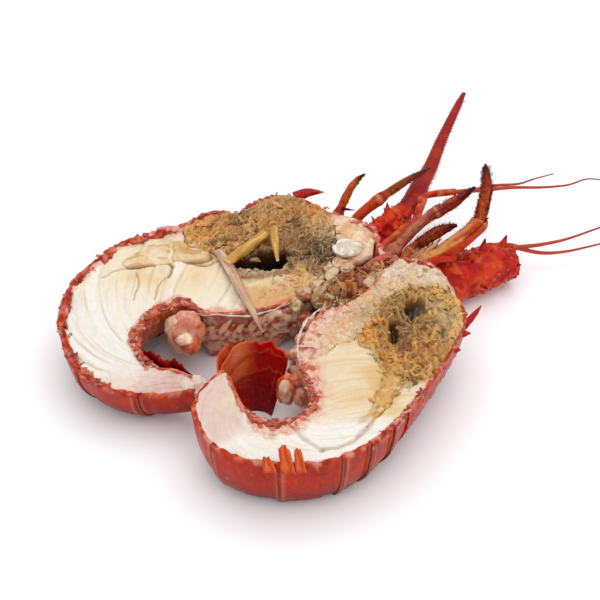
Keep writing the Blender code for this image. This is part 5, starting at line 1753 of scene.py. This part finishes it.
def gland():
    """The pale gland of the left head: a cushion, four lobes and a crescent."""
    batch = Batch()
    centre = LEFT.place(*LEFT_GLAND_PLACE) + (0.8, 0, 0.2)
    fleshy(batch, centre, (6.6, 5.8, 2.4), 20, ((230, 212, 186), (208, 178, 140), 0.25), 820, 0.1)
    lobes = (3.0, 1.6, 3.0), (-2.6, -1.8, 3.0), (1.8, -3.0, 2.6), (-1.6, 2.4, 2.4)
    for k, (dx, dy, size) in enumerate(lobes):
        fleshy(batch, centre + (dx, dy, 0.9), (size * 1.3, size * 0.8, size * 0.5), 35 * k,
               ((242, 230, 210), (222, 196, 160), 0.2), 825 + k, 0.12)
    crescent = [centre + (6.6 * math.cos(x), 5.8 * math.sin(x), 0.9)
                for x in np.radians((60, 110, 160, 210, 250))]
    points, faces, _, _ = tube(crescent, (0.6, 1.1, 1.2, 1.1, 0.5), 60, 16, rough=0.2,
                               rough_size=2.5, seed=829)
    batch.add(points, faces, rgb((250, 240, 222)))
    batch.build("left_gland_lobes", MEAT, ("left_gland",), "meat_white")


def rods():
    """The two ribbed yellow rods."""
    for k, (path, radii) in enumerate(zip(ROD_PATHS, ROD_RADII), 1):
        points, faces, share, turn = tube(path, radii, 110, 28, flatness=0.75, power=2.6)
        middle = middle_of(path, share)
        ribs = (np.sin(share * 2 * np.pi * ROD_RIBS + 1.5 * noise(points, 3, 830))
                + 0.5 * noise(points, 0.9, 831))
        fatter = 1 + 0.02 * ribs + 0.16 * noise(points, 3.5, 833)
        points = middle + (points - middle) * fatter[:, None]
        c = painted(
            points.shape, (200, 142, 48),
            ((232, 186, 96), smooth(noise(as3(share * 3, turn * 1.5), 1.0, 832), 0.0, 0.5)),
            ((150, 92, 30), 0.45 * smooth(-ribs, 0.5, 1.3)),
            ((238, 206, 140), 0.8 * smooth(share if k == 2 else 1 - share, 0.9, 1.0)))
        build(f"yellow_rod_ribbed_{k}", points, faces, c, ROD, (f"yellow_rod_{k}",))


def blade():
    """The pointed pink-brown blade across the left half."""
    points, faces, share, turn = tube(LEFT.route(BLADE_PATH), BLADE_RADII, 130, 24, flatness=0.35,
                                      rough=0.12, rough_size=5, seed=841)
    grain = noise(as3(share * 5, turn * 2.5), 1.0, 842)
    c = painted(
        points.shape, (200, 154, 120),
        ((226, 190, 160), smooth(grain, 0, 0.5)),
        ((178, 128, 98), 0.7 * smooth(-grain, 0.1, 0.5)),
        ((160, 104, 78), 0.6 * smooth(np.abs(np.cos(turn)), 0.9, 1.0)))
    build("pink_blade_thin", points, faces, c, SKIN, ("pink_blade",))


def strip(rng):
    """The tongue of tomalley down the right tail meat, with its crumbs."""
    batch = Batch()
    path = np.array(RIGHT.route(STRIP_PATH))
    points, faces, _, _ = tube(path - (0, 0, 0.9), (1.6, 3.6, 3.9, 3.2, 2.2, 1.2), 130, 40,
                               flatness=0.42, rough=0.5, rough_size=3.2, seed=850)
    batch.add(points, faces, painted(
        points.shape, (216, 162, 82),
        ((234, 194, 122), smooth(fbm(points, 3.5, 3, 852), -0.05, 0.35)),
        ((170, 112, 46), 0.7 * smooth(-fbm(points, 2.2, 3, 853), 0.1, 0.45))))
    tones = ((222, 168, 86), (230, 184, 106), (200, 142, 64))
    count = 70
    for k in range(count):
        f = 0.94 * (k + 0.5) / count
        spread = 2.2 - f, 2.2 - f, 0.2
        centre = blended(path, f * (len(path) - 1)) + rng.normal(0, 1, 3) * spread
        size = (1.6 - 0.8 * f) * (0.5 + 0.6 * rng.random())
        axes = turn_about_up(rng.uniform(0, math.pi))
        points, faces = blob(centre - (0, 0, 0.5 + 0.5 * f), (size * 1.7, size, size * 0.4),
                             axes, rough=0.4, seed=850 + k)
        batch.add(points, faces, rgb(tones[rng.integers(3)]))
    batch.build("right_strip_lumps", TOMALLEY, ("right_tomalley_strip",), "tomalley")


def shards():
    """Three torn shards that stand up from the right shell's rim."""
    for k, (foot, width, rise) in enumerate(SHARDS, 1):
        f, g = np.meshgrid(np.linspace(0, 1, 26), np.linspace(-1, 1, 16), indexing="ij")
        ragged = noise(as3(g * 2.2 + 9 * k, 0 * g), 1.0, 861)
        jag = 1 - 0.16 * (g + 0.6 - 0.2 * k) ** 2 + 0.2 * ragged
        waist = 1 + 0.1 * noise(as3(f * 4, 0 * f + k), 1.0, 862)
        span = width * (1 - 0.22 * f) / 2 * waist
        height = SHARD_FOOT + (rise - SHARD_FOOT) * f * jag
        lean = (0.42 * np.maximum(height, 0) + 0.4 * np.cos(g * 1.4)
                + 0.2 * noise(as3(g * 2, f * 5), 1.0, 863))
        along_rim = foot[0] + g * span - 0.16 * height
        sheets = [RIGHT.place(along_rim, foot[1] + lean + through, height)
                  for through in (0.0, 0.9)]
        points, faces = closed_slab(*sheets)
        c = painted((*f.shape, 3), (218, 78, 36),
                    ((236, 126, 70), 0.7 * smooth(noise(as3(g * 1.6, f * 1.6), 1, 864), 0.0, 0.4)),
                    ((186, 48, 28), 0.6 * smooth(1 - f, 0.6, 1.0)))
        build(f"right_shard_torn_{k}", points, faces, np.tile(c.reshape(-1, 3), (2, 1)), RED,
              (f"right_shell_shard_{k}",))


# Torn edges: name, half, path as (a, b, height), radii, colour and the colour of its patches
LIPS = (
    ("left_shell_edge_rear", LEFT,
     ((-54, 9, 0.2), (-49.6, 14, 0.6), (-45, 17, 0.6), (-38, 17.4, 0.8), (-30, 13.5, 1.6)),
     (0.6, 0.9, 0.8, 0.9, 0.5), (176, 44, 48), (226, 120, 96)),
    ("left_shell_edge_front", LEFT,
     ((-30.5, 14.5, 1.4), (-26.3, 20.4, 0.8), (-21, 25.0, 0.6), (-13, 28.8, 0.6)),
     (0.5, 0.9, 0.9, 0.5), (176, 44, 48), (230, 140, 120)),
    ("left_head_lip", LEFT,
     ((19.6, 11, 1.0), (27, 10.4, 1.2), (34.5, 7.6, 1.0), (36.6, 1.5, 0.6), (37.6, -5, 0.4),
      (39, -8.6, 0.6), (42.4, -11, 0.2), (36, -14, 0.6), (30, -18, 0.2)),
     (0.6, 0.9, 1.2, 1.4, 1.4, 1.2, 1.2, 1.5, 0.8), (206, 84, 70), (246, 196, 174)),
    ("right_head_lip", RIGHT,
     ((41, -18, 0.6), (48.5, -15.2, 1.0), (58.5, -17.4, 1.0), (64, -23.2, 0.8),
      (67.4, -31.6, 0.4), (69, -38, 0.0)),
     (0.7, 1.0, 0.9, 1.1, 1.2, 0.7), (204, 76, 58), (242, 186, 160)),
    ("left_membrane_flap", LEFT,
     ((-73, 2.4, 0.2), (-67, 5.6, 0.4), (-60, 6.0, 0.6), (-54, 5.4, 0.4)),
     (0.9, 1.6, 1.9, 0.9), (222, 140, 124), (244, 204, 190)),
)
TAIL_TIP = ((-50, -81.2), (-43.6, -81), (-40.3, -84.4), (-40.8, -87.8), (-43.4, -90.8),
            (-49, -90.6), (-53, -86))
SHELL_SPINES = (((73.5, -60.5), 5.5), ((68.6, -71), 5.0), ((61.5, -82), 3.6), ((57, -91), 2.6),
                ((75.6, -48), 3.0))


def lips():
    """Curled edges of shell and skin."""
    for k, (name, half, path, radii, tone, over) in enumerate(LIPS):
        points, faces, _, _ = tube(half.route(path), radii, 16 * len(path), 20, flatness=0.7,
                                   rough=1.3, rough_size=2.2, seed=870 + k)
        shown = 0.75 * smooth(fbm(points, 3, 3, 880 + k), -0.05, 0.4)
        build(name, points, faces, painted(points.shape, tone, (over, shown)), SKIN, ())


def tail_tip():
    """The soft tip of the left tail."""
    points, faces, _, r = chunk_of(TAIL_TIP, LEFT, 0.5, 890, deep=6.0)
    c = painted(
        points.shape, (238, 216, 202),
        ((222, 182, 164), smooth(fbm(points, 4, 3, 891), -0.1, 0.4)),
        ((206, 128, 108), 0.6 * smooth(r, 0.9, 1.0)))
    build("left_tail_tip_flesh", points, faces, c, MEAT, ())


def shell_spines():
    """The spines down the side of the right head shell."""
    batch = Batch()
    for (a, b), reach in SHELL_SPINES:
        foot = RIGHT.place(a - 1.5, b, -4.0)
        tip = foot + np.array((0.8, -0.35, 0.35)) * reach
        points, faces, share, _ = tube((foot, foot + 0.55 * (tip - foot), tip), (2.2, 1.3, 0.2),
                                       16, 12, rough=0.15, rough_size=1.5, seed=895)
        batch.add(points, faces, painted(points.shape, (196, 58, 40),
                                         ((150, 40, 30), smooth(share, 0.6, 0.95))))
    batch.build("right_shell_spines", RED, (), "shell_red")


MOUTH_LEFT_EDGE = ((4, -37), (14, -25.5), (26, -17.5), (36, -13), (45, -8))
MOUTH_RIGHT_EDGE = ((10, -48), (20, -44), (30, -35), (38, -22.5), (47, -13))
MOUTH_HEIGHT = 30.0
MOUTH_LUMPS = (
    ((2.5, -35.5, 33.6), (4.2, 3.4, 3.0)), ((8.5, -31, 34.6), (4.6, 3.2, 2.4)),
    ((15, -24, 35.6), (5.0, 3.4, 2.4)), ((9, -39, 32.2), (3.8, 3.4, 3.0)),
    ((31, -27, 34), (5.0, 3.6, 2.6)), ((37, -22, 34), (4.2, 3.4, 2.4)),
    ((22, -19, 35.6), (4.2, 3.0, 2.0)), ((-2, -39.5, 30), (4.0, 3.2, 3.6)),
)
# Knuckles low on both open ends of the mouth: x, y, height and size
MOUTH_SIDES = (
    (44, -9, 19, 4.6), (45.5, -13, 12, 5.0), (39, -9.5, 10, 5.2), (42, -10, 3.5, 5.0), (31, -15, 15, 5.0),
    (33, -14, 5, 5.4), (22, -20, 14, 5.0), (22, -21, 4.5, 5.2), (47, -13, 22, 3.6), (3, -41, 22, 4.2),
    (5, -44, 13, 4.6), (7, -44, 4.5, 5.0), (14, -29, 10, 5.2),
)
FLAKE_TONES = ((196, 156, 102), (180, 132, 74), (208, 182, 138), (164, 110, 52), (186, 98, 38),
               (170, 84, 32), (206, 138, 68), (144, 72, 30))
THREAD_TONES = ((186, 102, 40), (214, 150, 90), (136, 72, 32))
DARKER_FROM = 38     # rows of the mouth's top past this one have the darker tones


def mouth_block():
    """The block under the torn mouth parts; gives the places of its top."""
    f, g = np.meshgrid(np.linspace(0, 1, 130), np.linspace(0, 1, 60), indexing="ij")
    start, end = middle_of(MOUTH_LEFT_EDGE, f), middle_of(MOUTH_RIGHT_EDGE, f)
    xy = start + (end - start) * g[..., None]
    p = as3(xy[..., 0], xy[..., 1])
    grains, border, kind = cells(p, 3.2, 901)
    fine = fbm(p, 3, 3, 902)
    crest = (MOUTH_HEIGHT + 1 - 4.8 * f + 4 * np.sin(np.pi * g) + 1.4 * fine
             + 1.2 * (0.45 - grains) + 2.5 * folds_of(p, 5, 903))[..., None]
    middle = xy.mean(axis=(0, 1))
    top, crust, base_top, floor = (
        np.concatenate((middle + width * (xy - middle), height), -1)
        for width, height in ((1, crest), (1, crest - 2.5), (0.97, crest - 2.0), (0.72, 0 * crest)))
    c = painted(
        (*f.shape, 3), (178, 138, 84),
        ((206, 176, 126), smooth(kind, 0.5, 0.9)),
        ((134, 80, 36), smooth(fine, 0.0, 0.5)),
        # painted shade in the low seams between the grains
        ((92, 50, 22), 0.8 * smooth(0.16 - (border - grains), 0, 0.16)),
        ((150, 70, 30), 0.8 * smooth(f, 0.6, 0.9)))
    block = Batch()
    block.add(*closed_slab(top, crust), np.tile(c.reshape(-1, 3), (2, 1)))
    points, faces = closed_slab(base_top, floor)
    shade = smooth(fbm(points, 6, 3, 906), 0, 0.5)
    block.add(points, faces, painted(points.shape, (150, 78, 54), ((112, 44, 30), shade)))
    block.build("mouth_block", CREAM, ("mouth_parts",), "meat_cream")
    return top


def mouth(rng):
    """The torn mouth parts between the heads: flakes, strands and crumbs on a block."""
    top = mouth_block()
    batch = Batch()
    for k in range(230):
        i, j = rng.integers(4, 126), rng.integers(2, 58)
        size = 0.9 + 2.6 * rng.random() ** 2
        points, faces = blob(top[i, j] + (0, 0, 0.1), (size * 1.6, size, size * 0.42),
                             random_turn(rng), rough=0.3, seed=k)
        near = 0 if i < DARKER_FROM else 4
        base = FLAKE_TONES[(near + rng.integers(4)) % len(FLAKE_TONES)]
        brown = 0.45 * smooth(fbm(points, 2.4, 2, 905), 0.1, 0.5)
        batch.add(points, faces, painted(points.shape, base, ((170, 98, 50), brown)))
    for k, (place, radii) in enumerate(MOUTH_LUMPS):
        tone = (((220, 192, 146), (184, 122, 66), 0.4) if k % 3
                else ((212, 178, 134), (176, 108, 62), 0.35))
        fleshy(batch, place, radii, 40 * k, tone, 930 + k, 0.35)
    for k in range(230):
        i, j = rng.integers(10, 120), rng.integers(4, 56)
        way = np.array((0.25 + 0.3 * rng.normal(), 1.0, 0)) * (3 + 3 * rng.random())
        start = top[i, j] + (0, 0, 0.4)
        path = [start - way / 2, start + (0, 0, 1.0), start + way / 2 + (0, 0, -0.4)]
        points, faces, _, _ = tube(path, (0.25, 0.5, 0.2), 12, 7, rough=0.15, rough_size=1, seed=k)
        batch.add(points, faces, rgb(THREAD_TONES[rng.integers(3)]))
    for k, (x, y, z, size) in enumerate(MOUTH_SIDES):
        tone = (206, 132, 98), (176, 70, 44), 0.4
        fleshy(batch, (x, y, z), (size, size, 1.3 * size), 30 * k, tone, 960 + k)
    batch.build("mouth_flakes", CREAM, (), "meat_cream")


# ---------------------------------------------------------------- crumbs, strands and strings

CAVITY_FINGER = ((-31, -9, -1), (-28, -9.6, -2), (-24.5, -10.3, -2.2), (-21, -10.8, -2.4),
                 (-19, -11, -3.5))
LEFT_FIBRES = ((206, 160, 84), (176, 124, 56), (222, 190, 134), (120, 78, 34))
RIGHT_FIBRES = ((206, 160, 84), (186, 140, 70), (222, 190, 134), (120, 84, 40))
LEFT_STRING = ((-47, -46), (-40, -47), (-30, -48), (-22, -48), (-15, -46), (-5, -41))
RIGHT_STRING = ((12, -48), (6, -54), (2, -60), (-1, -72), (0, -85))
RIGHT_SIDE_STRING = ((-1, -74), (4, -74), (8, -75))
DEEPEST_SAG = 4.0    # a fibre that would hang deeper into a hollow is left out


def pick(rng, weight, count):
    """Some places of a face, at random by weight."""
    weight = np.clip(weight.ravel(), 0, None)
    return rng.choice(len(weight), count, p=weight / weight.sum())


def crumb_batch(rng, face, weight, count, sizes, shift, seed, slim=0.6, stretch=1.6, dark=0.15):
    """Crumbs lying on a face, each in the colour of the place it lies on, varied."""
    batch = Batch()
    places, tints = face.top.reshape(-1, 3), face.tint.reshape(-1, 3)
    for k in pick(rng, weight, count):
        size = sizes[0] + (sizes[1] - sizes[0]) * rng.random() ** 2.5
        axes = turn_about_up(rng.uniform(0, math.pi)) @ tip_forward(rng.normal(0, 0.3))
        points, faces = blob(places[k] - (0, 0, 0.3 * size),
                             (size * stretch, size * 0.9, size * slim), axes,
                             rough=0.38, seed=seed + int(k) % 97)
        own = tints[k] * np.clip(1 + shift * rng.normal(0, 0.2), 0.65, 1.5)
        if rng.random() < 0.15:
            own = 0.6 * own + 0.4 * rgb((226, 198, 150))
        shade = 1 - dark * smooth(noise(points, 1.2, seed), 0.0, 0.5)
        batch.add(points, faces, own * shade[:, None])
    return batch


def strand(batch, face, start, way, length, radius, tone, rng, lift=0.5, bend=0.35):
    """A thin fibre that follows the relief of a face."""
    steps = 5
    heading = way
    ab = [np.array(start, float)]
    for _ in range(steps):
        heading = heading + rng.normal(0, bend)
        ab.append(ab[-1] + length / steps * np.array((math.cos(heading), math.sin(heading))))
    a, b = np.array(ab).T
    heights = face.height_at(a, b)
    if np.ptp(heights) > DEEPEST_SAG:
        return
    heights = np.convolve(np.pad(heights, 1, mode="edge"), (0.25, 0.5, 0.25), "valid")
    sides = 6 if radius < 0.4 else 10
    points, faces, _, _ = tube(face.half.place(a, b, heights + lift),
                               (0.4 * radius, radius, radius, 0.3 * radius), 18, sides,
                               rough=0.3 * radius, rough_size=1.5, seed=7)
    batch.add(points, faces, tone)


def curls(batch, rng, face, weight, count, radii, lengths, vary, bend):
    """Fat fibres half sunk in a face, each in the colour of its place, made lighter or darker."""
    tints = face.tint.reshape(-1, 3)
    for k in pick(rng, weight, count):
        radius = radii[0] + (radii[1] - radii[0]) * rng.random() ** 2
        tone = tints[k] * np.clip(1 + vary * rng.normal(), 0.55, 1.6)
        way = rng.uniform(0, 2 * math.pi)
        strand(batch, face, face.flat[k, :2], way, rng.uniform(*lengths), radius, tone, rng,
               -0.15 * radius, bend)


def fibres(batch, rng, face, weight, count, tones, way, vary):
    """Thin fibres over a face, most of them along one way."""
    for k in pick(rng, weight, count):
        tone = rgb(tones[rng.integers(4)])
        strand(batch, face, face.flat[k, :2], rng.normal(way, vary), 3 + 4 * rng.random(), 0.22,
               tone, rng)


def string(batch, face, route, radius, tone, strands=3):
    """White membrane strings along a route, as a few fine cords side by side."""
    route = np.asarray(route, float)
    f = np.linspace(0, len(route) - 1, 6 * len(route))
    for k in range(strands):
        p = as3(f * 1.3, 0 * f + 9 * k)
        a, b = (blended(route, f)
                + 0.8 * np.stack((noise(p, 1.0, 951 + k), noise(p, 1.0, 961 + k)), -1)).T
        heights = face.height_at(a, b) + 0.6 + 0.3 * noise(p, 1.0, 971 + k)
        points, faces, _, _ = tube(face.half.place(a, b, heights),
                                   (0.4 * radius, radius, radius, 0.4 * radius), 8 * len(route), 7,
                                   rough=0.1, rough_size=1.2, seed=k)
        batch.add(points, faces, tone)


def soft_region(face, outline, low=-1, high=1):
    """0 outside a region of a face and 1 inside it."""
    return smooth(depth_inside(face.a, face.b, outline), low, high)


def scatter_left(rng, face):
    """Crumbs and fibres over the left tomalley and chest, and a membrane."""
    tomalley = soft_region(face, LEFT_TOMALLEY)
    inland = smooth(rim_distance(face.w), 2.0, 5.0)
    weight = tomalley * (1 - soft_region(face, LEFT_CAVITY, -1, 0.5)) * inland
    batch = crumb_batch(rng, face, weight, 90, (0.5, 2.0), 0.5, 1001, 0.5)
    curls(batch, rng, face, weight, 230, (0.3, 0.9), (2.5, 7.5), 0.16, 0.55)
    fibres(batch, rng, face, weight, 110, LEFT_FIBRES, 0.8, 0.7)
    points, faces, _, _ = tube(LEFT.route(CAVITY_FINGER), (0.5, 1.3, 1.6, 1.2, 0.4), 50, 16,
                               rough=0.4, rough_size=2, seed=77)
    brown = smooth(fbm(points, 2, 2, 78), 0, 0.5)
    batch.add(points, faces, painted(points.shape, (206, 164, 104), ((160, 108, 50), brown)))
    batch.build("left_tomalley_crumbs", TOMALLEY, (), "tomalley")

    chest = soft_region(face, LEFT_CHEST) * smooth(face.a, -24, -6) * inland * (1 - tomalley)
    batch = crumb_batch(rng, face, chest, 26, (0.5, 2.4), 0.15, 1101, 0.35, 1.3, 0.05)
    curls(batch, rng, face, chest, 44, (0.3, 0.8), (2.5, 6), 0.07, 0.8)
    string(batch, face, LEFT_STRING, 0.34, rgb((240, 214, 190)))
    batch.build("left_flesh_crumbs", CREAM, (), "meat_cream")


def scatter_right(rng, face):
    """Crumbs and fibres over the right tomalley, chest and head, and two membranes."""
    tomalley = soft_region(face, RIGHT_TOMALLEY)
    dips = sum(soft_region(face, outline, -1, 0.5) for outline in RIGHT_HOLLOWS)
    inland = smooth(rim_distance(face.w), 2.0, 5.0)
    weight = tomalley * (1 - np.clip(dips, 0, 1)) * inland
    batch = crumb_batch(rng, face, weight, 80, (0.5, 1.9), 0.5, 1201, 0.5)
    curls(batch, rng, face, weight, 220, (0.3, 0.9), (2.5, 7.5), 0.16, 0.55)
    fibres(batch, rng, face, tomalley * inland, 100, RIGHT_FIBRES, 2.2, 0.9)
    batch.build("right_tomalley_crumbs", TOMALLEY, (), "tomalley")

    flesh = (soft_region(face, RIGHT_CHEST) + soft_region(face, RIGHT_HEAD)) * inland * (1 - tomalley)
    batch = crumb_batch(rng, face, flesh, 50, (0.6, 2.2), 0.1, 1301, 0.45, 1.3, 0.05)
    curls(batch, rng, face, flesh, 70, (0.25, 0.6), (2.5, 6), 0.07, 0.8)
    string(batch, face, RIGHT_STRING, 0.36, rgb((242, 216, 196)))
    string(batch, face, RIGHT_SIDE_STRING, 0.36, rgb((242, 216, 196)), strands=2)
    batch.build("right_flesh_crumbs", CREAM, (), "meat_cream")


# ---------------------------------------------------------------- camera, floor and light

LENS = 77.97
VIEW_DISTANCE = 649.7
VIEW_ELEVATION = 40      # degrees
FLOOR_REACH = 3.0        # metres
FLOOR_DROP = 0.0003      # so that it doesn't flicker with the undersides
LAMPS = (("window", (0.06, 0.16, 0.98), 1.3, 4.0), ("fill", (0.1, -0.5, 0.75), 0.8, 1.2))


def camera():
    """The photo's view, from 40 degrees above the floor."""
    scene = bpy.context.scene
    data = bpy.data.cameras.new("view")
    data.sensor_width = 36
    data.lens = LENS
    data.clip_start, data.clip_end = 0.05, 20
    view = bpy.data.objects.new("view", data)
    elevation = math.radians(VIEW_ELEVATION)
    away = np.array((0, -math.cos(elevation), math.sin(elevation))) * VIEW_DISTANCE
    view.location = (-SHIFT * (1, 1, 0) + away) * MM
    view.rotation_euler = (math.radians(90 - VIEW_ELEVATION), 0, 0)
    scene.collection.objects.link(view)
    scene.camera = view


def pale_floor():
    """A near-white floor, which is stage and not part of the object."""
    mesh = bpy.data.meshes.new("floor")
    corners = [(x * FLOOR_REACH, y * FLOOR_REACH, 0) for x, y in ((-1, -1), (1, -1), (1, 1), (-1, 1))]
    mesh.from_pydata(corners, [], [(0, 1, 2, 3)])
    floor = bpy.data.objects.new("floor", mesh)
    floor.location.z = -FLOOR_DROP
    paper = bpy.data.materials.new("paper")
    paper.use_nodes = True
    shader = paper.node_tree.nodes["Principled BSDF"]
    shader.inputs["Base Color"].default_value = (0.945, 0.945, 0.955, 1)
    shader.inputs["Roughness"].default_value = 0.6
    shader.inputs["Specular IOR Level"].default_value = 0.2
    mesh.materials.append(paper)
    bpy.context.scene.collection.objects.link(floor)


def lights():
    """Soft light from all round, and two lamps that face the origin, shown as it is."""
    scene = bpy.context.scene
    scene.view_settings.view_transform = "Standard"
    world = bpy.data.worlds.new("room")
    world.use_nodes = True
    background = world.node_tree.nodes["Background"]
    background.inputs["Color"].default_value = (0.97, 0.98, 1.0, 1)
    background.inputs["Strength"].default_value = 0.88
    scene.world = world
    for name, place, size, energy in LAMPS:
        light = bpy.data.lights.new(name, "AREA")
        light.shape = "DISK"
        light.size = size
        light.energy = energy
        lamp = bpy.data.objects.new(name, light)
        lamp.location = place
        lamp.rotation_euler = (-Vector(place)).to_track_quat("-Z", "Y").to_euler()
        scene.collection.objects.link(lamp)


def main():
    rng = np.random.default_rng(7)
    left, right = cut_faces()
    backs()
    bellies()
    cores()
    torn_rims()
    limbs(rng)
    antennae(rng)
    fans()
    swimmerets()
    leg_stumps(rng)
    back_muscle()
    gland()
    rods()
    blade()
    strip(rng)
    shards()
    lips()
    tail_tip()
    shell_spines()
    mouth(rng)
    scatter_left(rng, left)
    scatter_right(rng, right)
    camera()
    pale_floor()
    lights()


main()
